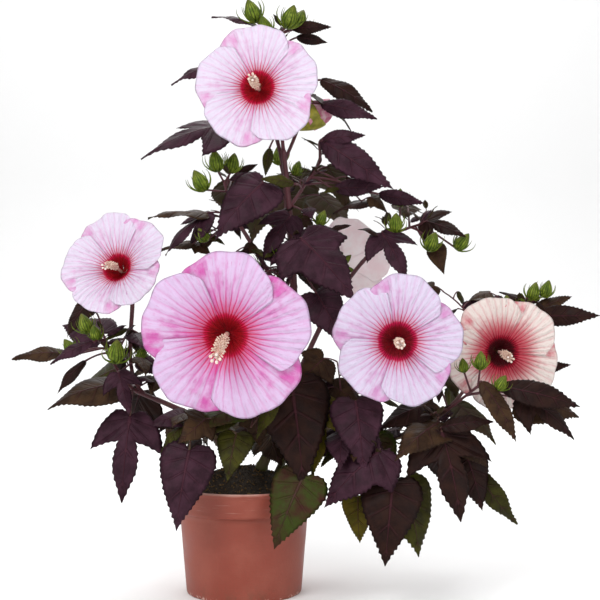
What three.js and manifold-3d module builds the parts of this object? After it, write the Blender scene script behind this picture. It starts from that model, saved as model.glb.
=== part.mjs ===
// A rose mallow: a dark-leaved hardy hibiscus shrub in flower, growing in its 19 cm nursery pot.
//
// Millimetres, +Z up. The origin is the middle of the pot's flat underside, -Y is the shrub's
// front and +X its right. Every stem, bough, mass of leaves and bloom is one closed solid, and
// neighbours stand GAP apart where one grows out of the other.

import * as THREE from "three";
import { mergeVertices } from "three/addons/utils/BufferGeometryUtils.js";
import Module from "manifold-3d";

const wasm = await Module();
wasm.setup();

const GAP = 0.3;

// Pot
const POT_HEIGHT = 140;
const POT_FOOT_RADIUS = 74;
const POT_WAIST_RADIUS = 82.5;
const POT_RIM_RADIUS = 96;
const POT_WALL = 2.4;
const COLLAR_HEIGHT = 34;
const COLLAR_STEP = 6;
const DRAIN_HOLES = 6;
const DRAIN_RADIUS = 5;
const DRAIN_RING = 46;
const ROUND_SIDES = 28;

// Compost
const SOIL_LEVEL = 128;

// Stems and boughs
const LIMB_SIDES = 5;
const LIMB_STEP = 38;
const FLARE_SHARE = 1 / 7;

// Blooms: lengths are shares of the bloom's radius, radii are millimetres
const PETALS = 5;
const CROWN_SIDES = 3 * PETALS;
const CROWN_RINGS = [0.13, 0.55, 1];
const CROWN_THICKNESS = 1.4;
const PETAL_NOTCH = 0.09;
const CALYX_DEPTH = 0.3;
const COLUMN_LENGTH = 0.55;
const COLUMN_DROOP = 0.1;
const COLUMN_RADIUS = 2.4;
const BLOOM_STALK_RADIUS = 2.2;
const SPENT_SEAT = 0.97;

// Leaf growth: arch, fold and thickness are shares of the blade's length, turns are degrees
const TWIG_RADIUS = 2.4;
const TWIG_TIP_RADIUS = 1.5;
const STALK_RADIUS = 1.3;
const BLADE_THICKNESS = 0.022;
const BLADE_ARCH = 0.07;
const BLADE_FOLD = 0.22;
const LEAST_HALF_THICKNESS = 0.9;
const TIP_RADIUS = 0.4;
const TURNS = [0, 25, -25, 50, -50];
const GOLDEN_TURN = 137.5;

// The most, in cubic millimetres, that a filling leaf may share with its own mass
const CROWDED = 30;

// Half outlines of the leaf shapes, as fractions of the blade's length. Each row is a
// station: its place on the midrib, then how far forward and how far out the edge lies.
const OUTLINES = {
  heart: [
    [0.1, -0.09, 0.25],
    [0.38, 0.24, 0.4],
    [0.72, 0.7, 0.2],
  ],
  lobed: [
    [0.08, -0.05, 0.18],
    [0.26, 0.36, 0.48],
    [0.44, 0.38, 0.17],
    [0.7, 0.64, 0.2],
  ],
  lance: [
    [0.2, 0.16, 0.15],
    [0.58, 0.52, 0.18],
  ],
  filling: [
    [0.12, -0.06, 0.27],
    [0.5, 0.38, 0.37],
  ],
};

const colours = {
  pot: 0xa25046,
  soil: 0x1d150e,
  stem: 0x5b2434,
  foliage: 0x3c2236,
  bloom: 0xe9b8dc,
};

const point = (x, y, z) => new THREE.Vector3(x, y, z);

// ---- solids ----------------------------------------------------------------------------------

// A closed geometry as a solid that can be joined and cut.
function solid(geometry) {
  const bare = geometry.clone();
  bare.deleteAttribute("normal");
  bare.deleteAttribute("uv");
  const merged = mergeVertices(bare, 1e-4);
  const corners = [];
  const index = merged.index.array;
  for (let i = 0; i < index.length; i += 3) {
    const [a, b, c] = [index[i], index[i + 1], index[i + 2]];
    if (a !== b && b !== c && c !== a) {
      corners.push(a, b, c);
    }
  }
  return new wasm.Manifold(
    new wasm.Mesh({
      numProp: 3,
      vertProperties: merged.attributes.position.array,
      triVerts: new Uint32Array(corners),
    }),
  );
}

// Points and the triangles between them, as a solid.
function faceted(points, corners) {
  const geometry = new THREE.BufferGeometry().setFromPoints(points);
  geometry.setIndex(corners);
  return solid(geometry);
}

// The largest closed body of a solid: loose scraps go, and a sealed hollow is filled.
function wholeBody(made) {
  return made.decompose().reduce((best, body) => (body.volume() > best.volume() ? body : best));
}

// A closed skin over rings of points, each joined to the next and both ends shut. Neighbouring
// sides are split the other way, so a blade's upper and lower faces fold along the same lines.
function skin(rings) {
  const sides = rings[0].length;
  const last = (rings.length - 1) * sides;
  const corners = [];
  for (let start = 0; start < last; start += sides) {
    for (let side = 0; side < sides; side += 1) {
      const a = start + side;
      const b = start + ((side + 1) % sides);
      if (side % 2 === 0) {
        corners.push(a, b, b + sides, a, b + sides, a + sides);
      } else {
        corners.push(a, b, a + sides, b, b + sides, a + sides);
      }
    }
  }
  for (let side = 1; side + 1 < sides; side += 1) {
    corners.push(0, side + 1, side);
    corners.push(last, last + side, last + side + 1);
  }
  return faceted(rings.flat(), corners);
}

// A round limb along a curve, whose radius follows radiusAt from 0 at its root to 1 at its tip.
function limb(curve, steps, sides, radiusAt) {
  const frames = curve.computeFrenetFrames(steps, false);
  const rings = [];
  for (let step = 0; step <= steps; step += 1) {
    const centre = curve.getPointAt(step / steps);
    const radius = radiusAt(step / steps);
    const ring = [];
    for (let side = 0; side < sides; side += 1) {
      const angle = (2 * Math.PI * side) / sides;
      ring.push(
        centre
          .clone()
          .addScaledVector(frames.normals[step], radius * Math.cos(angle))
          .addScaledVector(frames.binormals[step], radius * Math.sin(angle)),
      );
    }
    rings.push(ring);
  }
  return skin(rings);
}

// A profile of [radius, height] pairs turned about the upright axis.
function turned(profile) {
  const outline = profile.map(([radius, height]) => new THREE.Vector2(radius, height));
  return solid(new THREE.LatheGeometry(outline, ROUND_SIDES).rotateX(Math.PI / 2));
}

// The same draws on every run, from 0 to 1 (the small generator known as mulberry32).
function seeded(seed) {
  let state = seed;
  return () => {
    state = (state + 0x6d2b79f5) | 0;
    let mixed = Math.imul(state ^ (state >>> 15), 1 | state);
    mixed = (mixed + Math.imul(mixed ^ (mixed >>> 7), 61 | mixed)) ^ mixed;
    return ((mixed ^ (mixed >>> 14)) >>> 0) / 4294967296;
  };
}

function boxesMeet(a, b) {
  return [0, 1, 2].every((i) => a.min[i] < b.max[i] && b.min[i] < a.max[i]);
}

// ---- the assembly ----------------------------------------------------------------------------

const group = new THREE.Group();
group.name = "potted_hibiscus";
const placed = [];

function place(name, made, finish, roughness = 0.7) {
  const { numProp, vertProperties, triVerts } = made.getMesh();
  const geometry = new THREE.BufferGeometry();
  geometry.setAttribute(
    "position",
    new THREE.InterleavedBufferAttribute(
      new THREE.InterleavedBuffer(vertProperties, numProp),
      3,
      0,
    ),
  );
  geometry.setIndex(new THREE.BufferAttribute(triVerts, 1));
  geometry.computeVertexNormals();
  const material = new THREE.MeshStandardMaterial({
    color: colours[finish],
    roughness,
    metalness: 0,
    flatShading: true,
  });
  const mesh = new THREE.Mesh(geometry, material);
  mesh.name = name;
  group.add(mesh);
  placed.push({ made, box: made.boundingBox() });
}

function touchesAny(made, others) {
  const box = made.boundingBox();
  return others.some(
    (other) => boxesMeet(box, other.box) && !made.intersect(other.made).isEmpty(),
  );
}

// ---- pot and compost -------------------------------------------------------------------------

// The moulded pot: a tapered body, a small step, and a collar that flares to the rim.
function potSolid() {
  const waist = POT_HEIGHT - COLLAR_HEIGHT;
  const stepOut = COLLAR_STEP;
  const outside = [
    [0, 0],
    [POT_FOOT_RADIUS - 2, 0],
    [POT_FOOT_RADIUS, 2],
    [POT_WAIST_RADIUS, waist],
    [POT_WAIST_RADIUS + stepOut, waist + 5],
    [POT_RIM_RADIUS, POT_HEIGHT - 1],
  ];
  const inside = [
    [POT_RIM_RADIUS - POT_WALL, POT_HEIGHT],
    [POT_WAIST_RADIUS + stepOut - POT_WALL, waist + 4],
    [POT_WAIST_RADIUS - POT_WALL, waist - 2],
    [POT_FOOT_RADIUS - POT_WALL, POT_WALL + 1],
    [0, POT_WALL + 1],
  ];
  let pot = turned([...outside, ...inside]);
  for (let hole = 0; hole < DRAIN_HOLES; hole += 1) {
    const angle = (2 * Math.PI * hole) / DRAIN_HOLES;
    const drain = new THREE.CylinderGeometry(DRAIN_RADIUS, DRAIN_RADIUS, 4 * POT_WALL, 8)
      .rotateX(Math.PI / 2)
      .translate(DRAIN_RING * Math.cos(angle), DRAIN_RING * Math.sin(angle), 0);
    pot = pot.subtract(solid(drain));
  }
  return pot;
}

// The compost fills the pot to just under the rim.
function soilSolid() {
  const waist = POT_HEIGHT - COLLAR_HEIGHT;
  const wall = POT_WALL + 2 * GAP;
  return turned([
    [0, POT_WALL + 1 + GAP],
    [POT_FOOT_RADIUS - wall, POT_WALL + 1 + GAP],
    [POT_WAIST_RADIUS - wall, waist - 2],
    [POT_WAIST_RADIUS + COLLAR_STEP - wall - 0.4, waist + 5],
    [POT_RIM_RADIUS - wall - 4, SOIL_LEVEL - 4],
    [POT_RIM_RADIUS - wall - 20, SOIL_LEVEL],
    [0, SOIL_LEVEL],
  ]);
}

place("pot", potSolid(), "pot", 0.5);
place("soil", soilSolid(), "soil", 0.95);

// ---- stems and boughs ------------------------------------------------------------------------

// Each limb runs through a few places from its root to its tip. A stem from the compost starts
// below its surface and is cut flat there. A bough starts inside the limb it grows from.
const LIMBS = [
  {
    name: "main_stem",
    through: [
      [2, 0, 115],
      [48, -10, 221],
      [64, -16, 300],
      [64, -18, 388],
      [58, -20, 493],
      [51, -22, 564],
    ],
    root: 7,
    tip: 3.2,
    flare: 1.6,
  },
  {
    name: "low_left_stem",
    through: [[-9, 2, 115], [-22, -14, 173], [-48, -35, 220], [-91, -45, 244], [-130, -50, 261]],
    root: 5.5,
    tip: 2.8,
    flare: 1.5,
  },
  {
    name: "low_right_stem",
    through: [
      [20, -6, 115],
      [59, -22, 163],
      [116, -32, 186],
      [179, -45, 200],
      [231, -55, 220],
      [256, -60, 242],
    ],
    root: 6,
    tip: 2.8,
    flare: 1.5,
  },
  {
    name: "back_left_stem",
    through: [[-12, 22, 115], [-24, 50, 200], [-42, 88, 270], [-48, 112, 322]],
    root: 5,
    tip: 2.6,
    flare: 1.5,
  },
  {
    name: "back_right_stem",
    through: [[26, 22, 115], [68, 60, 190], [122, 100, 242], [168, 128, 285]],
    root: 5,
    tip: 2.6,
    flare: 1.5,
  },
  {
    name: "upper_left_bough",
    from: "main_stem",
    through: [[64, -17, 350], [38, -26, 400], [16, -34, 438], [-3, -40, 469]],
    root: 3.4,
    tip: 2.4,
  },
  {
    name: "upper_right_bough",
    from: "main_stem",
    through: [[62, -14, 262], [87, -5, 317], [117, 10, 374], [146, 15, 415], [175, 10, 447]],
    root: 3.6,
    tip: 2.4,
  },
  {
    name: "right_bough",
    from: "main_stem",
    through: [[48, -10, 218], [82, -25, 238], [116, -40, 254], [149, -55, 273], [177, -70, 300]],
    root: 3.6,
    tip: 2.6,
  },
  {
    name: "front_bough",
    from: "main_stem",
    through: [[59, -14, 256], [41, -40, 281], [17, -75, 309], [-1, -100, 327]],
    root: 3.6,
    tip: 2.8,
  },
  {
    name: "back_bough",
    from: "main_stem",
    through: [[64, -16, 330], [66, 14, 372], [62, 42, 422], [56, 62, 466]],
    root: 3.2,
    tip: 2.2,
  },
];

const limbCurves = new Map();

// A limb tapers evenly, and a stem also flares at its root.
function limbRadius(spec, extra) {
  return (t) => {
    const flare = spec.flare ? 1 + (spec.flare - 1) * Math.max(0, 1 - t / FLARE_SHARE) : 1;
    return (spec.root + (spec.tip - spec.root) * t) * flare + extra;
  };
}

function limbSolid(spec, extra = 0) {
  const curve = limbCurves.get(spec.name);
  const steps = Math.max(6, Math.round(curve.getLength() / LIMB_STEP));
  return limb(curve, steps, LIMB_SIDES, limbRadius(spec, extra));
}

// Everything below the compost's surface, where a stem is cut flat.
const underground = solid(
  new THREE.BoxGeometry(200, 200, 60).translate(0, 0, SOIL_LEVEL + GAP - 30),
);

for (const spec of LIMBS) {
  const corners = spec.through.map((corner) => point(...corner));
  limbCurves.set(spec.name, new THREE.CatmullRomCurve3(corners));
  let made = limbSolid(spec);
  if (spec.from) {
    const parent = LIMBS.find((other) => other.name === spec.from);
    made = made.subtract(limbSolid(parent, GAP));
  } else {
    made = made.subtract(underground);
  }
  place(spec.name, wholeBody(made), "stem", 0.6);
}

// A place on a limb, t from 0 at its root to 1 at its tip.
function onLimb(name, t) {
  const curve = limbCurves.get(name);
  return { at: curve.getPointAt(t), along: curve.getTangentAt(t) };
}

// Where a twig leaves a limb. At the tip it stands GAP off the end. Elsewhere it starts inside,
// and is cut back to GAP from the bark.
function seatOn(name, t) {
  const { at, along } = onLimb(name, t);
  return t === 1 ? at.addScaledVector(along, GAP) : at;
}

function cutToSeat(made, name, t) {
  if (t === 1) {
    return made;
  }
  const spec = LIMBS.find((other) => other.name === name);
  return wholeBody(made.subtract(limbSolid(spec, GAP)));
}

// ---- blooms ----------------------------------------------------------------------------------

// Each bloom: where its eye is, which way it faces, its radius, and how deeply it is cupped.
const BLOOMS = [
  {
    name: "bloom_top",
    on: "main_stem",
    at: 0.86,
    eye: [21, -62, 636],
    faces: [-0.14, -0.97, 0.14],
    radius: 78,
    cup: 0.3,
  },
  {
    name: "bloom_left",
    on: "low_left_stem",
    at: 0.92,
    eye: [-147, -80, 412],
    faces: [-0.28, -0.86, 0.4],
    radius: 67,
    cup: 0.5,
  },
  {
    name: "bloom_front",
    on: "front_bough",
    at: 1,
    eye: [-14, -150, 339],
    faces: [-0.1, -0.98, -0.14],
    radius: 101,
    cup: 0.3,
  },
  {
    name: "bloom_right",
    on: "right_bough",
    at: 1,
    eye: [188, -120, 329],
    faces: [0.02, -1, 0.02],
    radius: 79,
    cup: 0.3,
  },
  {
    name: "bloom_far_right",
    on: "low_right_stem",
    at: 1,
    eye: [323, -32, 310],
    faces: [0.16, -0.97, -0.04],
    radius: 73,
    cup: 0.4,
  },
  {
    name: "bloom_back",
    on: "upper_right_bough",
    at: 0.55,
    eye: [130, 82, 420],
    faces: [0.45, 0.82, 0.3],
    radius: 60,
    cup: 0.4,
  },
  {
    name: "bloom_rear_left",
    on: "back_left_stem",
    at: 1,
    eye: [-44, 165, 345],
    faces: [-0.3, 0.9, 0.25],
    radius: 74,
    cup: 0.35,
  },
  {
    name: "bloom_rear_right",
    on: "back_right_stem",
    at: 1,
    eye: [208, 180, 306],
    faces: [0.3, 0.92, 0.15],
    radius: 74,
    cup: 0.35,
  },
];

// The frame of a bloom: its facing axis and two axes across it.
function bloomAxes(faces) {
  const axis = point(...faces).normalize();
  const across = point(0, 0, 1).cross(axis).normalize();
  const upward = axis.clone().cross(across);
  return { axis, across, upward };
}

// How far forward the crown stands at a fraction of its radius: a funnel that opens out flat.
function crownForward(fraction, cup, radius) {
  return radius * cup * Math.sqrt(Math.max(0, fraction - 0.1)) - 0.05 * radius;
}

// The rim is a little notched where two petals meet.
function crownRadius(fraction, turn, radius) {
  const fullness = Math.abs(Math.cos((PETALS * turn) / 2));
  return radius * fraction * (1 - PETAL_NOTCH * fraction * (1 - fullness));
}

function crownSolid(spec, eye, { axis, across, upward }) {
  const top = [];
  const under = [];
  for (const fraction of CROWN_RINGS) {
    for (let side = 0; side < CROWN_SIDES; side += 1) {
      const turn = (2 * Math.PI * side) / CROWN_SIDES;
      const angle = turn + Math.PI / 2;
      const radius = crownRadius(fraction, turn, spec.radius);
      const forward = crownForward(fraction, spec.cup, spec.radius);
      const here = eye
        .clone()
        .addScaledVector(across, radius * Math.cos(angle))
        .addScaledVector(upward, radius * Math.sin(angle))
        .addScaledVector(axis, forward);
      top.push(here);
      under.push(here.clone().addScaledVector(axis, -CROWN_THICKNESS));
    }
  }
  const rings = [];
  for (let ring = 0; ring < CROWN_RINGS.length; ring += 1) {
    rings.push(under.slice(ring * CROWN_SIDES, (ring + 1) * CROWN_SIDES));
  }
  for (let ring = CROWN_RINGS.length - 1; ring >= 0; ring -= 1) {
    rings.push(top.slice(ring * CROWN_SIDES, (ring + 1) * CROWN_SIDES));
  }
  return skin(rings);
}

// A bloom: its stalk, its calyx, the crown of petals and the column of stamens.
function bloomSolid(spec) {
  const eye = point(...spec.eye);
  const axes = bloomAxes(spec.faces);
  const depth = CALYX_DEPTH * spec.radius;
  const calyxFoot = eye.clone().addScaledVector(axes.axis, -depth);
  const root = seatOn(spec.on, spec.at);
  const along = onLimb(spec.on, spec.at).along;
  const run = root.distanceTo(calyxFoot);
  const stalk = limb(
    new THREE.CubicBezierCurve3(
      root,
      root.clone().addScaledVector(along, 0.35 * run),
      calyxFoot.clone().addScaledVector(axes.axis, -0.35 * run),
      calyxFoot.clone().addScaledVector(axes.axis, 2),
    ),
    4,
    4,
    (t) => BLOOM_STALK_RADIUS + 0.8 * t,
  );
  const calyx = limb(
    new THREE.LineCurve3(calyxFoot, eye.clone().addScaledVector(axes.axis, 0.02 * spec.radius)),
    2,
    6,
    (t) => spec.radius * (0.07 + 0.11 * Math.sqrt(t)),
  );
  const columnTip = eye
    .clone()
    .addScaledVector(axes.axis, COLUMN_LENGTH * spec.radius)
    .add(point(0, 0, -COLUMN_DROOP * spec.radius));
  const column = limb(
    new THREE.QuadraticBezierCurve3(
      eye.clone().addScaledVector(axes.axis, -2),
      eye.clone().addScaledVector(axes.axis, 0.35 * spec.radius),
      columnTip,
    ),
    3,
    4,
    (t) => COLUMN_RADIUS * (1 + 0.9 * Math.sin(0.9 * Math.PI * t)),
  );
  const joined = stalk.add(calyx).add(crownSolid(spec, eye, axes)).add(column);
  return cutToSeat(wholeBody(joined), spec.on, spec.at);
}

for (const spec of BLOOMS) {
  place(spec.name, bloomSolid(spec), "bloom", 0.6);
}

// A spent bloom, rolled shut in its calyx.
function spentBloomSolid() {
  const root = seatOn("main_stem", SPENT_SEAT);
  const cup = point(72, 8, 600);
  const end = point(112, 2, 614);
  const stalk = limb(new THREE.LineCurve3(root, cup), 3, 5, () => BLOOM_STALK_RADIUS);
  const furled = limb(
    new THREE.LineCurve3(point(68, 8, 598), end),
    5,
    8,
    (t) => 6 + 12 * Math.sin(Math.PI * (0.12 + 0.8 * t)),
  );
  return cutToSeat(wholeBody(stalk.add(furled)), "main_stem", SPENT_SEAT);
}

place("bloom_spent", spentBloomSolid(), "bloom", 0.7);

// ---- masses of leaves ------------------------------------------------------------------------

const upright = point(0, 0, 1);

// Four points round a centre, across the way a stalk heads: its top, right, bottom and left.
function squareRing(centre, heading, radius, right) {
  const rise = right.clone().cross(heading).normalize().multiplyScalar(radius);
  const side = heading.clone().cross(rise).normalize().multiplyScalar(radius);
  return [
    centre.clone().add(rise),
    centre.clone().add(side),
    centre.clone().sub(rise),
    centre.clone().sub(side),
  ];
}

// A leaf: one skin of four-cornered rings, small and square along its stalk, then flat and wide
// along its blade. The blade is arched along its length and folded a little down at its edges. It
// runs from the end of the stalk along reach, and its upper face looks towards lit.
function leafSolid(root, stalk, reach, shape, lit, roll) {
  const neck = root.clone().add(stalk);
  const length = reach.length();
  const along = reach.clone().divideScalar(length);
  const upper = lit.clone().addScaledVector(along, -lit.dot(along)).normalize();
  upper.applyAxisAngle(along, THREE.MathUtils.degToRad(roll));
  const aside = along.clone().cross(upper);
  const half = Math.max(LEAST_HALF_THICKNESS, (BLADE_THICKNESS * length) / 2);
  const spot = (forward, out, rise) =>
    neck
      .clone()
      .addScaledVector(along, forward * length)
      .addScaledVector(aside, out * length)
      .addScaledVector(
        upper,
        (4 * BLADE_ARCH * forward * (1 - forward) - BLADE_FOLD * Math.abs(out)) * length + rise,
      );
  // The blade's own right, carried round to the way the stalk heads without a twist
  const rightOf = (heading) =>
    aside.clone().applyQuaternion(new THREE.Quaternion().setFromUnitVectors(along, heading));
  const outwards = stalk.clone().normalize();
  const bend = reach.clone().add(stalk).normalize();
  const rings = [
    squareRing(root, outwards, STALK_RADIUS * 1.2, rightOf(outwards)),
    squareRing(neck, bend, STALK_RADIUS * 0.8, rightOf(bend)),
  ];
  for (const [midrib, forward, out] of OUTLINES[shape]) {
    rings.push([
      spot(midrib, 0, half),
      spot(forward, out, 0),
      spot(midrib, 0, -half),
      spot(forward, -out, 0),
    ]);
  }
  rings.push(squareRing(spot(1, 0, 0), along, TIP_RADIUS, aside));
  return skin(rings);
}

// A closed bud and its short stalk, as one skin that swells at the bud and ends in its point.
function budSolid(root, stalk, size) {
  const base = root.clone().add(stalk);
  const lean = stalk.clone().normalize().multiplyScalar(0.6).add(upright).normalize();
  const right = stalk.clone().cross(upright);
  const rings = [
    squareRing(root, stalk, STALK_RADIUS, right),
    squareRing(base, stalk, 0.5 * size, right),
  ];
  for (const [forward, radius] of [[0.9, 1], [1.7, 0.72], [2.8, 0.08]]) {
    const centre = base.clone().addScaledVector(lean, forward * size);
    rings.push(squareRing(centre, lean, radius * size, right));
  }
  return skin(rings);
}

// Each mass grows from one twig, which leaves a limb at a share of its length. The twig sets out
// by lead, or the limb's own way where none is given, and ends by away from its root. leaves lists
// what stands out of it: the place on the twig, the stalk and the blade as [right, back, up], the
// shape and the roll. fill more leaves follow the spiral of a shoot within spread degrees, with
// seeded sizes, and keep their tips within space of the twig. buds lists the place, stalk and size.
const MASSES = [
  {
    name: "top_leaves",
    on: "main_stem",
    at: 1,
    by: [-10, 15, 152],
    leaves: [
      [0.95, [-20, 5, 15], [-60, -25, 10], "lance", 20],
      [0.75, [-60, 25, 12], [-75, -25, -30], "lance", 15],
      [0.95, [20, 10, 15], [50, -10, 0], "lance", 40],
      [0.85, [25, 25, 25], [40, 10, -5], "lance", 40],
      [0.55, [53, 18, 22], [65, -20, -40], "lance", 10],
      [0.45, [52, 0, 5], [69, -25, -21], "lance", 25],
      [0.14, [-75, -10, 16], [-100, -25, -42], "lobed", 20],
      [0.25, [-15, -10, -25], [-5, -10, -35], "lance", 0],
    ],
    fill: 2,
    spread: 150,
    space: 120,
    buds: [
      [1, [-25, -10, 16], 9.5],
      [0.97, [-11, -10, 6], 8],
      [1, [14, -8, 9], 9.5],
      [1, [25, 12, 10], 9],
      [0.9, [-36, 10, 12], 6],
    ],
    seed: 11,
  },
  {
    name: "upper_left_leaves",
    on: "upper_left_bough",
    at: 1,
    by: [-20, 0, 55],
    leaves: [
      [0.75, [45, -35, 15], [-60, -20, -70], "heart", 0],
      [0.4, [-15, 0, -5], [-90, -20, 0], "lance", 30],
      [0.25, [-36, -5, 6], [-52, -10, -52], "lobed", 30],
      [0.9, [15, 15, 20], [25, 5, 10], "lance", 50],
      [0.2, [-45, 20, -30], [-56, 6, -8], "lance", 20],
    ],
    fill: 2,
    spread: 150,
    space: 110,
    buds: [
      [1, [-8, -8, 15], 8.5],
      [1, [8, 6, 14], 8],
      [0.85, [-27, -10, 2], 9],
      [0.3, [-35, -20, -30], 6],
    ],
    seed: 23,
  },
  {
    name: "upper_right_leaves",
    on: "main_stem",
    at: 0.84,
    by: [40, -5, 60],
    leaves: [
      [1, [0, -20, 25], [88, -25, -62], "lance", 30],
      [0.97, [4, -22, 28], [52, -12, 4], "lance", 40],
      [0.75, [30, 5, -15], [62, -12, 2], "lance", 45],
      [0.72, [88, 5, -20], [56, -15, -12], "lance", 40],
      [0.6, [95, 20, -20], [-60, -20, -15], "lance", 20],
      [0.9, [15, 40, 30], [40, 25, 20], "lance", 20],
      [0.5, [-10, -50, 5], [-40, -20, 5], "lance", -20],
    ],
    fill: 2,
    spread: 120,
    space: 110,
    buds: [],
    seed: 37,
  },
  {
    name: "right_middle_leaves",
    on: "upper_right_bough",
    at: 1,
    by: [55, -5, 25],
    leaves: [
      [0.3, [-10, -40, 5], [30, -30, -60], "lobed", 0],
      [0.95, [5, 0, 5], [50, -30, -20], "lobed", 15],
      [0.8, [30, -15, -25], [10, -10, -35], "heart", 20],
      [0.5, [-20, -30, -5], [-30, -25, 10], "lance", 10],
      [0.3, [75, 0, -70], [35, -20, -10], "lance", 30],
    ],
    fill: 2,
    spread: 160,
    space: 100,
    buds: [
      [0.6, [0, -10, 33], 7],
      [0.45, [0, -44, 4], 8],
      [0.9, [15, -25, -30], 8.5],
      [1, [45, -10, -32], 8],
    ],
    seed: 41,
  },
  {
    name: "centre_leaves",
    on: "main_stem",
    at: 0.66,
    by: [10, -36, 30],
    leaves: [
      [1, [0, -30, 15], [65, -30, -75], "heart", 0],
      [0.7, [-10, -5, 55], [-35, -15, -55], "lobed", 0],
      [0.5, [25, -25, -35], [35, -20, -65], "heart", 0],
      [0.4, [-15, -25, -30], [-35, -20, 5], "lance", -20],
      [0.8, [35, 25, 30], [30, -20, 10], "lance", 0],
    ],
    fill: 2,
    spread: 120,
    space: 100,
    buds: [
      [0.5, [-50, -30, -10], 6],
    ],
    seed: 59,
  },
  {
    name: "left_leaves",
    on: "low_left_stem",
    at: 1,
    by: [-40, -10, 65],
    leaves: [
      [0.9, [-50, 0, -5], [-70, 0, -6], "lance", 5],
      [1, [-10, -30, 0], [-50, -15, -25], "lance", 10],
      [0.85, [-30, 0, -10], [-35, -5, -40], "lance", 10],
      [0.35, [-10, -20, 0], [-82, -20, -26], "heart", 20],
      [0.15, [0, -30, -30], [-10, -15, -105], "lobed", 0],
      [0.45, [0, -40, 10], [15, -15, -50], "lobed", 0],
      [0.95, [-25, 10, 50], [-25, -10, -40], "heart", 15],
      [0.7, [15, -5, 35], [15, -30, 15], "lance", 0],
      [0.8, [-20, 60, 25], [-60, 50, 10], "heart", 0],
      [0.5, [-10, 55, 5], [-60, 60, -40], "heart", 0],
      [0.2, [5, 60, -10], [-20, 50, -80], "lobed", 0],
    ],
    fill: 1,
    spread: 150,
    space: 115,
    buds: [
      [1, [-20, -10, 14], 8],
      [1, [-8, -20, 6], 6.5],
      [0.8, [10, -40, 0], 10],
      [0.95, [-38, -15, -8], 7.5],
    ],
    seed: 67,
  },
  {
    name: "low_left_leaves",
    on: "low_left_stem",
    at: 0.55,
    by: [-15, -50, -6],
    leaves: [
      [1, [0, -30, -15], [-15, -15, -95], "heart", 0],
      [0.6, [-15, -15, 10], [-30, -20, -35], "lance", 20],
      [0.5, [50, -30, 30], [-55, -30, -25], "heart", 20],
      [0.7, [50, -30, 0], [-10, -20, -55], "heart", 0],
    ],
    fill: 2,
    spread: 150,
    space: 80,
    buds: [],
    seed: 71,
  },
  {
    name: "front_leaves",
    on: "main_stem",
    at: 0.27,
    by: [0, -62, 25],
    leaves: [
      [1, [5, -15, 20], [5, -25, -125], "heart", 0],
      [0.8, [25, -45, -85], [-35, -15, -85], "heart", 0],
      [0.5, [50, -30, -20], [-15, -25, -60], "lance", 20],
      [0.6, [-25, -45, 20], [-35, -10, -50], "lance", 10],
      [0.7, [45, -25, 5], [35, -15, -40], "heart", 10],
      [0.3, [25, -30, -25], [-20, -25, -45], "lance", 30],
    ],
    fill: 1,
    spread: 100,
    space: 80,
    buds: [],
    seed: 83,
  },
  {
    name: "low_right_leaves",
    on: "low_right_stem",
    at: 0.46,
    by: [40, -58, -5],
    leaves: [
      [0.6, [0, -35, 70], [10, -20, -85], "heart", 0],
      [1, [10, -15, 15], [-70, -10, -68], "heart", 0],
      [0.8, [15, 5, 25], [15, -15, -70], "heart", 0],
      [1, [25, -20, -25], [-10, -10, -100], "heart", 0],
      [0.9, [45, 0, -30], [20, -10, -90], "heart", -10],
      [0.5, [8, -25, -50], [2, 0, -58], "heart", 20],
    ],
    fill: 2,
    spread: 150,
    space: 90,
    buds: [],
    seed: 97,
  },
  {
    name: "right_leaves",
    on: "low_right_stem",
    at: 0.87,
    by: [15, -42, 0],
    leaves: [
      [1, [0, -10, 0], [22, -20, -106], "lobed", 0],
      [1, [0, -8, 5], [60, -15, 10], "lance", 10],
      [0.8, [0, -5, 10], [-70, -15, -40], "heart", 10],
      [0.7, [15, 5, 0], [50, -10, -45], "heart", 0],
      [0.5, [45, 15, -35], [20, -5, -70], "heart", 0],
      [0.4, [60, 20, -55], [50, -5, -70], "lance", 50],
      [0.4, [-8, -4, 28], [-62, 6, -34], "heart", 20],
      [0.5, [25, 95, -30], [30, 50, -75], "heart", 0],
    ],
    fill: 2,
    spread: 120,
    space: 100,
    buds: [],
    seed: 101,
  },
  {
    name: "far_right_leaves",
    on: "low_right_stem",
    at: 0.88,
    by: [58, -56, 56],
    leaves: [
      [1, [0, -15, 5], [40, -20, -70], "lance", 0],
      [0.95, [30, -10, 2], [92, -15, -22], "lance", 20],
      [0.8, [69, -7, 0], [62, -8, -50], "lobed", 0],
      [0.8, [68, 8, -4], [78, 20, -24], "heart", 10],
      [0.5, [-25, 0, -5], [-20, -10, 0], "lance", 20],
    ],
    fill: 2,
    spread: 150,
    space: 110,
    buds: [
      [1, [2, -6, 22], 7],
      [0.9, [-9, -6, 25], 5.5],
      [1, [22, -12, -2], 6.5],
    ],
    seed: 113,
  },
  {
    name: "far_right_upper_leaves",
    on: "low_right_stem",
    at: 0.72,
    lead: [30, 45, 40],
    by: [160, 66, 150],
    leaves: [
      [0.98, [30, -15, 5], [74, -38, 2], "lance", 45],
      [0.98, [25, 0, 8], [56, 5, 22], "lance", 10],
      [0.9, [5, -20, 30], [-40, -20, 15], "heart", 20],
      [0.95, [24, -17, 26], [-34, -5, 17], "heart", 20],
      [0.75, [80, 20, -20], [50, -20, 8], "lance", 40],
      [0.6, [-20, 25, 55], [-50, -25, 30], "lance", 20],
      [0.85, [35, 55, 0], [60, 60, -25], "heart", 0],
      [0.5, [25, 80, -5], [35, 60, -50], "heart", 0],
    ],
    fill: 2,
    spread: 200,
    space: 120,
    buds: [
      [1, [-5, -20, 14], 7],
      [1, [10, -10, 14], 7.5],
    ],
    seed: 127,
  },
  {
    name: "back_left_leaves",
    on: "back_left_stem",
    at: 0.7,
    by: [-45, 25, 55],
    leaves: [],
    fill: 5,
    spread: 280,
    space: 130,
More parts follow.
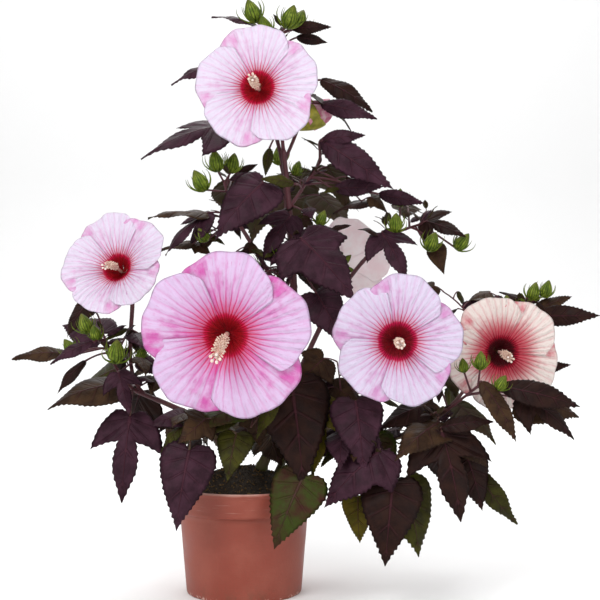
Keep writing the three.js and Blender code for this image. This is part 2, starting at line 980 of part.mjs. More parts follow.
    buds: [[1, [-5, 10, 20], 8]],
    seed: 131,
  },
  {
    name: "back_right_leaves",
    on: "back_right_stem",
    at: 0.45,
    by: [95, -5, 70],
    leaves: [],
    fill: 6,
    spread: 280,
    space: 130,
    buds: [[1, [10, 5, 20], 8]],
    seed: 149,
  },
  {
    name: "back_upper_leaves",
    on: "back_bough",
    at: 1,
    by: [-6, 14, 70],
    leaves: [],
    fill: 6,
    spread: 200,
    space: 130,
    buds: [
      [1, [-5, 5, 20], 8],
      [0.9, [15, 10, 15], 6.5],
    ],
    seed: 173,
  },
  {
    name: "back_middle_leaves",
    on: "main_stem",
    at: 0.6,
    by: [-22, 48, 26],
    leaves: [],
    fill: 5,
    spread: 240,
    space: 120,
    buds: [],
    seed: 211,
  },
  {
    name: "back_low_leaves",
    on: "back_right_stem",
    at: 0.3,
    by: [-25, 55, 25],
    leaves: [],
    fill: 5,
    spread: 240,
    space: 120,
    buds: [],
    seed: 179,
  },
  {
    name: "back_low_left_leaves",
    on: "back_left_stem",
    at: 0.35,
    by: [-50, 35, 10],
    leaves: [],
    fill: 6,
    spread: 240,
    space: 120,
    buds: [],
    seed: 191,
  },
];

const FRONT_LIGHT = point(0, -0.75, 0.65);

// The leaves that fill a mass from behind, spaced round its twig as on a shoot, within half a
// spread to each side of straight back.
function fillingLeaves(spec, random) {
  const leaves = [];
  for (let k = 0; k < spec.fill; k += 1) {
    const share = ((k * GOLDEN_TURN + spec.seed) % 360) / 360;
    const heading = THREE.MathUtils.degToRad(180 + spec.spread * (share - 0.5));
    const out = point(Math.sin(heading), -Math.cos(heading), 0);
    const stalk = out.clone().multiplyScalar(30 + 35 * random());
    stalk.z = 5 + 30 * random();
    const reach = out.clone().multiplyScalar(38 + 26 * random());
    reach.z = -15 - 55 * random();
    const roll = 40 * random() - 20;
    const station = 0.25 + (0.7 * (k + 0.5)) / spec.fill;
    leaves.push({ station, stalk, reach, shape: "filling", roll, out });
  }
  return leaves;
}

// The twig that a mass grows from: its curve, and its solid cut to its seat.
function twigOf(spec) {
  const root = seatOn(spec.on, spec.at);
  const along = onLimb(spec.on, spec.at).along;
  const by = point(...spec.by);
  const outwards = spec.at === 1 ? along : by.clone().normalize();
  const lead = spec.lead ? point(...spec.lead) : outwards.multiplyScalar(0.3 * by.length());
  const curve = new THREE.QuadraticBezierCurve3(root, root.clone().add(lead), root.clone().add(by));
  const whole = limb(curve, 3, 4, (t) => TWIG_RADIUS + (TWIG_TIP_RADIUS - TWIG_RADIUS) * t);
  const made = cutToSeat(whole, spec.on, spec.at);
  return { spec, curve, made, box: made.boundingBox() };
}

const twigs = MASSES.map(twigOf);

// A leaf or bud that would touch a limb, a bloom or another mass is turned, then left out.
function massSolid({ spec, curve, made: twig }) {
  const random = seeded(spec.seed);
  const others = [...placed, ...twigs.filter((other) => other.spec !== spec)];
  const shown = spec.leaves.map(([station, stalk, reach, shape, roll]) => ({
    station,
    stalk: point(...stalk),
    reach: point(...reach),
    shape,
    roll,
    out: null,
  }));
  const centre = curve.getPoint(0.6);
  let mass = twig;
  for (const leaf of [...shown, ...fillingLeaves(spec, random)]) {
    const start = curve.getPoint(leaf.station);
    const lit = leaf.out ? leaf.out.clone().multiplyScalar(0.6).add(upright) : FRONT_LIGHT;
    for (const turn of TURNS) {
      const angle = THREE.MathUtils.degToRad(turn);
      const stalk = leaf.stalk.clone().applyAxisAngle(upright, angle);
      const reach = leaf.reach.clone().applyAxisAngle(upright, angle);
      const tip = start.clone().add(stalk).add(reach);
      const inSpace = !leaf.out || tip.distanceTo(centre) < spec.space;
      const made = leafSolid(start, stalk, reach, leaf.shape, lit, leaf.roll);
      const crowded = leaf.out && mass.intersect(made).volume() > CROWDED;
      if (inSpace && !crowded && !touchesAny(made, others)) {
        mass = mass.add(made);
        break;
      }
    }
  }
  for (const [station, stalk, size] of spec.buds) {
    const made = budSolid(curve.getPoint(station * 0.97), point(...stalk), size);
    if (!touchesAny(made, others)) {
      mass = mass.add(made);
    }
  }
  return wholeBody(mass);
}

for (const twig of twigs) {
  place(twig.spec.name, massSolid(twig), "foliage", 0.6);
}

export default group;
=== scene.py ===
# A rose mallow, a dark-leaved hardy hibiscus in flower, growing in its 19 cm nursery pot.
#
# The scene is in metres, +Z up. The pot's underside stands on the floor at the origin, and -Y is
# the front. The sizes of the plant and its pot are given in millimetres and multiplied by MM.

import math

import bmesh
import bpy
import numpy as np
from mathutils import Euler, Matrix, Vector, noise
from mathutils.bvhtree import BVHTree


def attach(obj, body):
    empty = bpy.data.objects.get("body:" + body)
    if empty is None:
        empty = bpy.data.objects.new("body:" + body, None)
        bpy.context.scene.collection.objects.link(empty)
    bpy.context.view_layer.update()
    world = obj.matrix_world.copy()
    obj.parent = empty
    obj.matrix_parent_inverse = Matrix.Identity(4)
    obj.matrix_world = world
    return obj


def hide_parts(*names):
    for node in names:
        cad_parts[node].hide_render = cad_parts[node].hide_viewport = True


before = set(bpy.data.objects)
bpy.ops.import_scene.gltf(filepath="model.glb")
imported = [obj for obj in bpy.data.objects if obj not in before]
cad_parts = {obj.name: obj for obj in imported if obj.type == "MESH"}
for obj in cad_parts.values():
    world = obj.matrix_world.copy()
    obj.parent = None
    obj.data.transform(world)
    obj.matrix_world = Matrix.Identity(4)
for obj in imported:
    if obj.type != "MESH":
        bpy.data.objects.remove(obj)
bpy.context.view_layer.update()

# ---- the pot -----------------------------------------------------------------------------------
# A thin-walled nursery pot, injection moulded in terracotta-coloured plastic. Its body tapers
# down to a small foot, and a stepped collar flares to a rounded rim. Stacking, carrying and
# watering leave pale scuffs on the collar, faint creases down the wall and dirt round the foot.

MM = 0.001
POT_HEIGHT = 140
POT_FOOT_RADIUS = 74
POT_WAIST_RADIUS = 82.5
POT_RIM_RADIUS = 96
POT_WALL = 2.4
COLLAR_HEIGHT = 34
COLLAR_STEP = 6
DRAIN_HOLES = 6
DRAIN_RADIUS = 5
DRAIN_RING = 46
DRAIN_SIDES = 20
DRILL_DEPTH = 20
POT_SIDES = 144

POT_COLOUR = (0.265, 0.052, 0.032, 1)
POT_PALE = (0.37, 0.11, 0.075, 1)
POT_CHALK = (0.66, 0.45, 0.38, 1)
POT_DIRT = (0.16, 0.062, 0.036, 1)


class Flow:
    """What comes out of a node. Flows add, multiply and so on, as plain numbers do."""

    def __init__(self, socket):
        self.socket = socket
        self.tree = socket.id_data

    def maths(self, operation, *others):
        inputs = dict(enumerate((self, *others)))
        return new_node(self.tree, "ShaderNodeMath", inputs, operation=operation)

    def __add__(self, other):
        return self.maths("ADD", other)

    def __sub__(self, other):
        return self.maths("SUBTRACT", other)

    def __mul__(self, other):
        return self.maths("MULTIPLY", other)

    def __truediv__(self, other):
        return self.maths("DIVIDE", other)

    def __abs__(self):
        return self.maths("ABSOLUTE")


def set_sockets(made, inputs):
    """Gives a node's inputs their values, or links them where the value is a flow."""
    for socket, value in inputs.items():
        if isinstance(value, Flow):
            made.id_data.links.new(value.socket, made.inputs[socket])
        else:
            made.inputs[socket].default_value = value
    return made


def new_node(tree, kind, inputs, output=0, **settings):
    """One more node in a tree, and what flows out of it."""
    made = tree.nodes.new(kind)
    for name, value in settings.items():
        setattr(made, name, value)
    return Flow(set_sockets(made, inputs).outputs[output])


def parted(flow):
    """The x, y and z of a place."""
    made = set_sockets(flow.tree.nodes.new("ShaderNodeSeparateXYZ"), {0: flow})
    return [Flow(socket) for socket in made.outputs]


def ramp(value, low, high, start=0.0, end=1.0):
    """A smooth step from start to end as value goes from low to high."""
    inputs = {0: value, 1: low, 2: high, 3: start, 4: end}
    return new_node(value.tree, "ShaderNodeMapRange", inputs, interpolation_type="SMOOTHSTEP")


def painted(ground, *coats):
    """A ground colour under coats of others, each as strong as its share says."""
    for share, coat in coats:
        inputs = {0: share, 6: ground, 7: coat}
        ground = new_node(share.tree, "ShaderNodeMix", inputs, 2, data_type="RGBA")
    return ground


def embossed(*layers):
    """Relief from patterns laid over each other, each with its depth in metres and its strength."""
    under = {}
    for pattern, depth, strength in layers:
        inputs = {"Height": pattern, "Distance": depth, "Strength": strength, **under}
        under = {"Normal": new_node(pattern.tree, "ShaderNodeBump", inputs)}
    return under["Normal"]


def stretched(place, scale):
    return new_node(place.tree, "ShaderNodeMapping", {"Vector": place, "Scale": scale})


def cloud(place, scale, detail=3.0, roughness=0.55):
    inputs = {"Vector": place, "Scale": scale, "Detail": detail, "Roughness": roughness}
    return new_node(place.tree, "ShaderNodeTexNoise", inputs)


def new_finish(name, roughness, **flat):
    """A material, its shader with the plain sockets set, and the place that its pattern reads."""
    material = bpy.data.materials.new(name)
    material.use_nodes = True
    shader = material.node_tree.nodes["Principled BSDF"]
    sockets = {socket.replace("_", " "): value for socket, value in flat.items()}
    set_sockets(shader, {"Roughness": roughness, **sockets})
    return material, shader, new_node(material.node_tree, "ShaderNodeTexCoord", {}, "Object")


def pot_finish():
    material, shader, place = new_finish("moulded terracotta plastic", 0.45, Specular_IOR_Level=0.35)
    height = parted(place)[2]
    collar = (POT_HEIGHT - COLLAR_HEIGHT) * MM
    rim = POT_HEIGHT * MM
    mottle = cloud(place, 26, 4)
    fine = cloud(place, 420, 2)
    creases = cloud(stretched(place, (150, 150, 5)), 1, 3)
    rubs = cloud(stretched(place, (22, 22, 420)), 1, 3)
    splash = cloud(place, 75, 5, 0.7)
    chips = cloud(place, 300, 1)
    scuffs = ramp(rubs, 0.6, 0.78) * ramp(height, collar - 0.002, collar + 0.006)
    lip = ramp(height, rim - 0.0035, rim - 0.0005) * ramp(mottle, 0.3, 0.6)
    splashed = ramp(height, 0.03, 0.0) * ramp(splash, 0.45, 0.65)
    chipped = ramp(height, 0.006, 0.001) * ramp(chips, 0.55, 0.6)
    set_sockets(shader, {
        "Base Color": painted(
            POT_COLOUR,
            (ramp(mottle, 0.35, 0.75, 0, 0.42), POT_PALE),
            (ramp(fine, 0.3, 0.7, 0, 0.14), POT_DIRT),
            (ramp(creases, 0.64, 0.78, 0, 0.3), POT_PALE),
            (scuffs * 0.4, POT_CHALK),
            (lip * 0.5, POT_CHALK),
            (splashed * 0.5, POT_DIRT),
            (chipped, POT_CHALK),
        ),
        "Roughness": ramp(mottle, 0.3, 0.7, 0.36, 0.55),
        "Normal": embossed((rubs, 0.0003, 0.5), (mottle, 0.002, 0.35), (fine, 0.0002, 0.6)),
    })
    return material


def placed(name, data):
    """An object in the scene, standing at the origin."""
    made = bpy.data.objects.new(name, data)
    bpy.context.scene.collection.objects.link(made)
    return made


def lay_mesh(name, points, faces, finishes, finish_of_face=None, uvs=None):
    """A smooth mesh object from points in metres."""
    mesh = bpy.data.meshes.new(name)
    mesh.from_pydata(np.asarray(points).tolist(), [], [list(face) for face in faces])
    for finish in finishes:
        mesh.materials.append(finish)
    mesh.polygons.foreach_set("use_smooth", [True] * len(mesh.polygons))
    if finish_of_face is not None:
        mesh.polygons.foreach_set("material_index", finish_of_face)
    if uvs is not None:
        layer = mesh.uv_layers.new(name="UVMap")
        corner_points = np.empty(len(mesh.loops), dtype=np.int32)
        mesh.loops.foreach_get("vertex_index", corner_points)
        layer.data.foreach_set("uv", np.asarray(uvs)[corner_points].ravel())
    return placed(name, mesh)


def turned(profile, sides, wobble=None):
    """Points and faces of a profile of (radius, height) turned about the upright axis."""
    points = []
    for radius, height in profile:
        for side in range(sides):
            angle = math.tau * side / sides
            out, rise = wobble(radius, height, angle) if wobble else (radius, height)
            points.append((out * math.cos(angle) * MM, out * math.sin(angle) * MM, rise * MM))
    faces = []
    for row in range(len(profile) - 1):
        for side in range(sides):
            after = (side + 1) % sides
            near, far = row * sides, (row + 1) * sides
            faces.append((near + side, near + after, far + after, far + side))
    last = (len(profile) - 1) * sides
    faces.append(tuple(range(sides - 1, -1, -1)))
    faces.append(tuple(range(last, last + sides)))
    return points, faces


def pot_profile():
    """The wall of the pot from the middle of its underside, up the outside and down the inside."""
    waist = POT_HEIGHT - COLLAR_HEIGHT
    step = POT_WAIST_RADIUS + COLLAR_STEP
    wall = POT_WALL
    outside = [
        (2, 1.2), (POT_FOOT_RADIUS - 9, 1.2), (POT_FOOT_RADIUS - 7.5, 0), (POT_FOOT_RADIUS - 2.2, 0),
        (POT_FOOT_RADIUS - 0.6, 0.6), (POT_FOOT_RADIUS, 2.2),
    ]
    for share in np.linspace(0.08, 1, 14):
        radius = POT_FOOT_RADIUS + (POT_WAIST_RADIUS - POT_FOOT_RADIUS) * share
        outside.append((radius, 2 + (waist - 2) * share))
    outside += [
        (POT_WAIST_RADIUS + 1.4, waist + 0.5), (step - 1.2, waist + 1.6), (step, waist + 3),
        (step + 0.5, waist + 5.2), (step + 0.2, waist + 7), (step + 1, waist + 10),
        (step + 2.8, waist + 18), (step + 4.9, waist + 26), (step + 5.1, waist + 27.6),
        (POT_RIM_RADIUS - 1, waist + 29), (POT_RIM_RADIUS - 0.3, waist + 31),
        (POT_RIM_RADIUS, POT_HEIGHT - 1.2), (POT_RIM_RADIUS - 0.5, POT_HEIGHT - 0.3),
        (POT_RIM_RADIUS - 1.3, POT_HEIGHT),
    ]
    inside = [
        (POT_RIM_RADIUS - wall, POT_HEIGHT - 0.5), (POT_RIM_RADIUS - wall - 0.6, POT_HEIGHT - 3),
        (step + 2.8 - wall, waist + 18), (step - wall, waist + 4), (POT_WAIST_RADIUS - wall, waist - 2),
        (POT_FOOT_RADIUS - wall, wall + 2), (POT_FOOT_RADIUS - wall - 1.5, wall + 1), (2, wall + 1),
    ]
    return outside + inside


def make_pot():
    """The turned shell, with its drain holes cut through the floor."""
    points, faces = turned(pot_profile(), POT_SIDES)
    pot = lay_mesh("pot_shell", points, faces, [pot_finish()])
    drills = bmesh.new()
    radius = DRAIN_RADIUS * MM
    depth = DRILL_DEPTH * MM
    for hole in range(DRAIN_HOLES):
        angle = math.tau * hole / DRAIN_HOLES
        made = bmesh.ops.create_cone(
            drills, cap_ends=True, segments=DRAIN_SIDES, radius1=radius, radius2=radius, depth=depth
        )
        centre = Vector((DRAIN_RING * math.cos(angle), DRAIN_RING * math.sin(angle), 0)) * MM
        bmesh.ops.translate(drills, verts=made["verts"], vec=centre)
    cutter_mesh = bpy.data.meshes.new("drills")
    drills.to_mesh(cutter_mesh)
    drills.free()
    cutter = placed("drills", cutter_mesh)
    cut = pot.modifiers.new("drain holes", "BOOLEAN")
    cut.operation = "DIFFERENCE"
    cut.object = cutter
    return apply_modifiers(pot, [cutter])


def apply_modifiers(made, spare=()):
    """The object with its modifiers worked into a plain mesh, and the helpers gone."""
    drawn = made.evaluated_get(bpy.context.evaluated_depsgraph_get())
    plain = bpy.data.meshes.new_from_object(drawn)
    made.modifiers.clear()
    made.data = plain
    for helper in spare:
        bpy.data.objects.remove(helper)
    return made


pot = make_pot()
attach(pot, "root")
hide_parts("pot")

# ---- the compost -------------------------------------------------------------------------------
# Dark peat compost fills the pot to just under its rim and is heaped round the stems. Its surface
# has settled unevenly, with loose crumbs and flakes of bark lying on it.

SOIL_LEVEL = 128
SOIL_RADIUS = 88.6
SOIL_HEAP = 32
SOIL_RINGS = 44
SOIL_SIDES = 120
TURN_SEED = 3

PEAT = (0.013, 0.008, 0.004, 1)
PEAT_DRY = (0.075, 0.042, 0.015, 1)
BARK_BROWN = (0.10, 0.052, 0.016, 1)
BARK_FLAKE = (0.36, 0.21, 0.055, 1)


def peat_finish(name, dark, pale):
    material, shader, place = new_finish(name, 0.92)
    grain = cloud(place, 700, 4, 0.7)
    dry = ramp(grain, 0.4, 0.72) * ramp(cloud(place, 60, 3), 0.3, 0.7, 0.4, 1)
    set_sockets(shader, {"Base Color": painted(dark, (dry, pale)), "Normal": embossed((grain, 0.0012, 0.9))})
    return material


def settled(radius, height, angle):
    """The compost's surface, heaped in the middle, dips and heaves by a millimetre or two."""
    if height < SOIL_LEVEL - 5:
        return radius, height
    x = radius * math.cos(angle)
    y = radius * math.sin(angle)
    heave = 2.2 * noise.noise(Vector((x, y, 0)) / 22) + 0.9 * noise.noise(Vector((x, y, 9)) / 5)
    heap = SOIL_HEAP * max(0, 1 - (radius / SOIL_RADIUS) ** 2) ** 1.3
    return radius, height + heap + heave * min(1, (SOIL_RADIUS - radius) / 6 + 0.25)


def compost_profile():
    """Out over the pot's floor, up inside its wall, and in across the top to the middle."""
    waist = POT_HEIGHT - COLLAR_HEIGHT
    wall = POT_WALL + 0.6
    below = [
        (2, POT_WALL + 1.3), (POT_FOOT_RADIUS - wall, POT_WALL + 1.3), (POT_WAIST_RADIUS - wall, waist - 2),
        (POT_WAIST_RADIUS + COLLAR_STEP - wall - 0.4, waist + 5), (SOIL_RADIUS, SOIL_LEVEL - 4),
    ]
    rings = np.linspace(SOIL_RADIUS - 0.6, 1, SOIL_RINGS)
    return below + [(radius, SOIL_LEVEL - 3.4 * (radius / SOIL_RADIUS) ** 6) for radius in rings]


peat = peat_finish("peat compost", PEAT, PEAT_DRY)
compost = lay_mesh("compost", *turned(compost_profile(), SOIL_SIDES, settled), [peat])
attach(compost, "root")
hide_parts("soil")


def crumb_shape(name, squash, seed):
    """One crumb about 1 m across, to be scaled down where it lies."""
    ball = bmesh.new()
    bmesh.ops.create_icosphere(ball, subdivisions=1, radius=0.5)
    for corner in ball.verts:
        lump = 1 + 0.5 * noise.noise(corner.co * 2.3 + Vector((seed, 0, 0)))
        corner.co = Vector((corner.co.x * lump, corner.co.y * lump * squash, corner.co.z * lump * squash))
    mesh = bpy.data.meshes.new(name)
    ball.to_mesh(mesh)
    ball.free()
    return placed(name, mesh)


def new_tree(name, inputs):
    """An empty node tree for shapes, what its named inputs give, and its output."""
    tree = bpy.data.node_groups.new(name, "GeometryNodeTree")
    tree.interface.new_socket("Geometry", in_out="OUTPUT", socket_type="NodeSocketGeometry")
    for label, kind in {"Geometry": "Geometry", **inputs}.items():
        tree.interface.new_socket(label, in_out="INPUT", socket_type="NodeSocket" + kind)
    sockets = tree.nodes.new("NodeGroupInput").outputs
    given = {socket.name: Flow(socket) for socket in sockets if socket.name}
    return tree, given, tree.nodes.new("NodeGroupOutput")


def run_tree(made, tree, values):
    """Runs a tree on an object with its named inputs set, and keeps the plain mesh."""
    modifier = made.modifiers.new(tree.name, "NODES")
    modifier.node_group = tree
    sockets = {item.name: item.identifier for item in tree.interface.items_tree if item.in_out == "INPUT"}
    for label, value in values.items():
        modifier[sockets[label]] = value
    return apply_modifiers(made)


def stood_copies(tree, points, shape, turn, size, finish):
    """The end of a tree: a shape on every point, made one plain mesh with one finish."""
    stood = new_node(tree, "GeometryNodeInstanceOnPoints", {
        "Points": points, "Instance": shape, "Rotation": turn, "Scale": size,
    })
    whole = new_node(tree, "GeometryNodeRealizeInstances", {0: stood})
    return {0: new_node(tree, "GeometryNodeSetMaterial", {0: whole, "Material": finish})}


def strewn_tree():
    """Strews a crumb over the upward faces of a surface, each turned and sized by chance."""
    tree, given, result = new_tree("strewn crumbs", {
        "Crumb": "Object",
        "Crumbs to a square metre": "Float",
        "Least size": "Float",
        "Largest size": "Float",
        "Seed": "Int",
        "Finish": "Material",
    })
    upright = parted(new_node(tree, "GeometryNodeInputNormal", {}))[2]
    upward = new_node(tree, "FunctionNodeCompare", {0: upright, 1: 0.5}, operation="GREATER_THAN")
    spots = new_node(tree, "GeometryNodeDistributePointsOnFaces", {
        "Mesh": given["Geometry"],
        "Selection": upward,
        "Density": given["Crumbs to a square metre"],
        "Seed": given["Seed"],
    }, "Points")
    crumb = new_node(tree, "GeometryNodeObjectInfo", {"Object": given["Crumb"]}, "Geometry")
    turns = {1: (6.3, 6.3, 6.3), "Seed": TURN_SEED}
    turn = new_node(tree, "FunctionNodeRandomValue", turns, data_type="FLOAT_VECTOR")
    sizes = {2: given["Least size"], 3: given["Largest size"], "Seed": given["Seed"]}
    size = new_node(tree, "FunctionNodeRandomValue", sizes, 1)
    set_sockets(result, stood_copies(tree, spots, crumb, turn, size, given["Finish"]))
    return tree


# What lies on the compost: its name, how flat it is, how many to a square metre, the least and
# the largest size, its finish and its seed.
CRUMBS = [
    ("peat_crumbs", 0.8, 150000, 0.7, 2.6, peat_finish("peat crumbs", PEAT, PEAT_DRY), 5),
    ("bark_flakes", 0.4, 24000, 2.0, 6.5, peat_finish("bark flakes", BARK_BROWN, BARK_FLAKE), 8),
]
strewn_crumbs = strewn_tree()
for name, squash, density, least, largest, finish, seed in CRUMBS:
    crumb = crumb_shape("crumb", squash, seed)
    crumbs = placed(name, compost.data.copy())
    run_tree(crumbs, strewn_crumbs, {
        "Crumb": crumb,
        "Crumbs to a square metre": density,
        "Least size": least * MM,
        "Largest size": largest * MM,
        "Seed": seed,
        "Finish": finish,
    })
    bpy.data.objects.remove(crumb)
    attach(crumbs, "root")

# ---- the stems and boughs ----------------------------------------------------------------------
# Soft-wooded stems rise from the crown of the root and fork into thin boughs. The bark is smooth
# with fine lengthwise lines, a ring at each old leaf scar, and turns from olive to burgundy.

# Each limb: the places it runs through, its radius at the root and at the tip, and for a stem
# that stands in the compost how much its foot flares.
LIMBS = {
    "main_stem": dict(
        through=[(2, 0, 115), (48, -10, 221), (64, -16, 300), (64, -18, 388), (58, -20, 493), (51, -22, 564)],
        root=7, tip=3.2, flare=1.6,
    ),
    "low_left_stem": dict(
        through=[(-9, 2, 115), (-22, -14, 173), (-48, -35, 220), (-91, -45, 244), (-130, -50, 261)],
        root=5.5, tip=2.8, flare=1.5,
    ),
    "low_right_stem": dict(
        through=[
            (20, -6, 115), (59, -22, 163), (116, -32, 186), (179, -45, 200), (231, -55, 220), (256, -60, 242),
        ],
        root=6, tip=2.8, flare=1.5,
    ),
    "back_left_stem": dict(
        through=[(-12, 22, 115), (-24, 50, 200), (-42, 88, 270), (-48, 112, 322)], root=5, tip=2.6, flare=1.5
    ),
    "back_right_stem": dict(
        through=[(26, 22, 115), (68, 60, 190), (122, 100, 242), (168, 128, 285)], root=5, tip=2.6, flare=1.5
    ),
    "upper_left_bough": dict(
        through=[(64, -17, 350), (38, -26, 400), (16, -34, 438), (-3, -40, 469)], root=3.4, tip=2.4
    ),
    "upper_right_bough": dict(
        through=[(62, -14, 262), (87, -5, 317), (117, 10, 374), (146, 15, 415), (175, 10, 447)],
        root=3.6, tip=2.4,
    ),
    "right_bough": dict(
        through=[(48, -10, 218), (82, -25, 238), (116, -40, 254), (149, -55, 273), (177, -70, 300)],
        root=3.6, tip=2.6,
    ),
    "front_bough": dict(
        through=[(59, -14, 256), (41, -40, 281), (17, -75, 309), (-1, -100, 327)], root=3.6, tip=2.8
    ),
    "back_bough": dict(
        through=[(64, -16, 330), (66, 14, 372), (62, 42, 422), (56, 62, 466)], root=3.2, tip=2.2
    ),
}
FLARE_SHARE = 1 / 7
INTERNODE = 34
LIMB_STEP = 3
LIMB_SIDES = 16
COLLAR_LENGTH = 7

STEM_OLIVE = (0.095, 0.105, 0.012, 1)
STEM_BURGUNDY = (0.085, 0.014, 0.022, 1)
STEM_DARK = (0.03, 0.006, 0.012, 1)


def spline_spot(corners, t):
    """A place on the smooth curve through the corners, its knots spaced by the root of length."""
    last = len(corners) - 1
    piece = min(int(t * last), last - 1)
    share = t * last - piece
    start, end = corners[piece], corners[piece + 1]
    before = corners[piece - 1] if piece > 0 else 2 * corners[0] - corners[1]
    after = corners[piece + 2] if piece + 2 <= last else 2 * corners[last] - corners[last - 1]
    gaps = [np.linalg.norm(b - a) ** 0.5 for a, b in ((before, start), (start, end), (end, after))]
    leave = (start - before) / gaps[0] - (end - before) / (gaps[0] + gaps[1]) + (end - start) / gaps[1]
    arrive = (end - start) / gaps[1] - (after - start) / (gaps[1] + gaps[2]) + (after - end) / gaps[2]
    leave, arrive = leave * gaps[1], arrive * gaps[1]
    square = -3 * start + 3 * end - 2 * leave - arrive
    cube = 2 * start - 2 * end + leave + arrive
    return start + leave * share + square * share**2 + cube * share**3


class Run:
    """A curve measured along its length, so that a share of 0.5 is half way along it."""

    def __init__(self, spot_at):
        self.spot_at = spot_at
        self.steps = np.linspace(0, 1, 201)
        spots = np.array([spot_at(step) for step in self.steps])
        self.lengths = np.concatenate([[0], np.cumsum(np.linalg.norm(np.diff(spots, axis=0), axis=1))])
        self.length = self.lengths[-1]

    def at(self, share):
        return self.spot_at(float(np.interp(share * self.length, self.lengths, self.steps)))

    def along(self, share):
        ahead = self.at(min(1, share + 0.002)) - self.at(max(0, share - 0.002))
        return ahead / np.linalg.norm(ahead)


def unit(vector):
    return vector / np.linalg.norm(vector)


def even_turns(sides):
    """Even turns round a ring, in radians."""
    return np.linspace(0, math.tau, sides, endpoint=False)


def tube_points(path, radii, sides):
    """Rings of points round a path, with no twist from one to the next."""
    path = np.asarray(path, dtype=float)
    ahead = np.gradient(path, axis=0)
    ahead /= np.linalg.norm(ahead, axis=1)[:, None]
    side = np.cross(ahead[0], (0.2, 0.9, 0.3))
    turn = even_turns(sides)
    rings = []
    for place, forward, radius in zip(path, ahead, radii):
        side = unit(side - forward * np.dot(side, forward))
        over = np.cross(forward, side)
        ring = np.cos(turn)[:, None] * side + np.sin(turn)[:, None] * over
        rings.append(place + ring * np.broadcast_to(radius, (sides,))[:, None])
    return np.array(rings)


class Bundle:
    """Many small things gathered into one mesh: points, faces, finishes and UVs."""

    def __init__(self):
        self.points, self.uvs, self.faces, self.finish = [], [], [], []
        self.count = 0

    def add(self, points, uvs, faces, finish):
        self.points.append(points)
        self.uvs.append(uvs)
        self.faces.extend([tuple(int(corner) + self.count for corner in face) for face in faces])
        self.finish.extend(finish if isinstance(finish, list) else [finish] * len(faces))
        self.count += len(points)

    def add_tube(self, path, radii, sides, finish=0):
        rings = tube_points(path, radii, sides)
        count = len(rings)
        first = np.arange(count * sides).reshape(count, sides)
        after = np.roll(first, -1, axis=1)
        quads = np.stack([first[:-1], after[:-1], after[1:], first[1:]], axis=-1).reshape(-1, 4)
        faces = [*map(tuple, quads), tuple(first[0][::-1]), tuple(first[-1])]
        rows, columns = np.meshgrid(np.linspace(0, 1, count), np.arange(sides) / sides, indexing="ij")
        self.add(rings.reshape(-1, 3), np.stack([columns, rows], axis=-1).reshape(-1, 2), faces, finish)

    def add_sheet(self, grid, thickness, finish=0, under=None):
        """A closed thin sheet over a grid of points, its rim drawn to an edge."""
        rows, columns = grid.shape[:2]
        outwards = np.cross(np.gradient(grid, axis=0), np.gradient(grid, axis=1))
        outwards /= np.maximum(np.linalg.norm(outwards, axis=2), 1e-12)[..., None]
        half = np.full((rows, columns, 1), thickness / 2)
        half[0], half[-1], half[:, 0], half[:, -1] = 0, 0, 0, 0
        upper = np.arange(rows * columns).reshape(rows, columns)
        lower = upper.copy()
        within = np.arange((rows - 2) * (columns - 2)).reshape(rows - 2, columns - 2)
        lower[1:-1, 1:-1] = rows * columns + within
        quads = []
        for layer, flip in ((upper, 1), (lower, -1)):
            a, b, c, d = layer[:-1, :-1], layer[1:, :-1], layer[1:, 1:], layer[:-1, 1:]
            quads.append(np.stack([a, b, c, d], axis=-1).reshape(-1, 4)[:, ::flip])
        across, down = np.meshgrid(np.linspace(0, 1, columns), np.linspace(0, 1, rows))
        uvs = np.stack([across, down], axis=-1)
        points = np.concatenate([
            (grid + outwards * half).reshape(-1, 3),
            (grid - outwards * half)[1:-1, 1:-1].reshape(-1, 3),
        ])
        every_uv = np.concatenate([uvs.reshape(-1, 2), uvs[1:-1, 1:-1].reshape(-1, 2)])
        below = finish if under is None else under
        finishes = [finish] * len(quads[0]) + [below] * len(quads[1])
        self.add(points, every_uv, np.concatenate(quads), finishes)

    def lay(self, name, finishes):
        points, uvs = np.concatenate(self.points), np.concatenate(self.uvs)
        return lay_mesh(name, points, self.faces, finishes, self.finish, uvs)


def laid_out(place):
    """The piece's own layout, which runs across and along each tube and sheet."""
    return new_node(place.tree, "ShaderNodeUVMap", {})


def bark_finish():
    material, shader, place = new_finish("young hibiscus bark", 0.5)
    mottle = cloud(place, 90, 4)
    lines = cloud(stretched(laid_out(place), (26, 1.6, 1)), 2.2, 3)
    blush = ramp(parted(place)[2] + mottle * 0.14, 0.19, 0.33)
    set_sockets(shader, {
        "Base Color": painted(
            STEM_OLIVE, (blush, STEM_BURGUNDY), (ramp(lines, 0.45, 0.75, 0, 0.6), STEM_DARK),
        ),
        "Normal": embossed((lines, 0.0006, 0.7), (mottle, 0.0008, 0.5)),
    })
    return material


LIMB_RUNS = {
    name: Run(lambda t, corners=np.array(limb["through"], dtype=float) * MM: spline_spot(corners, t))
    for name, limb in LIMBS.items()
}


def limb_radius(limb, share):
    """The taper, and the flare of a stem's foot."""
    flare = 1 + (limb.get("flare", 1) - 1) * max(0, 1 - share / FLARE_SHARE)
    return (limb["root"] + (limb["tip"] - limb["root"]) * share) * flare * MM


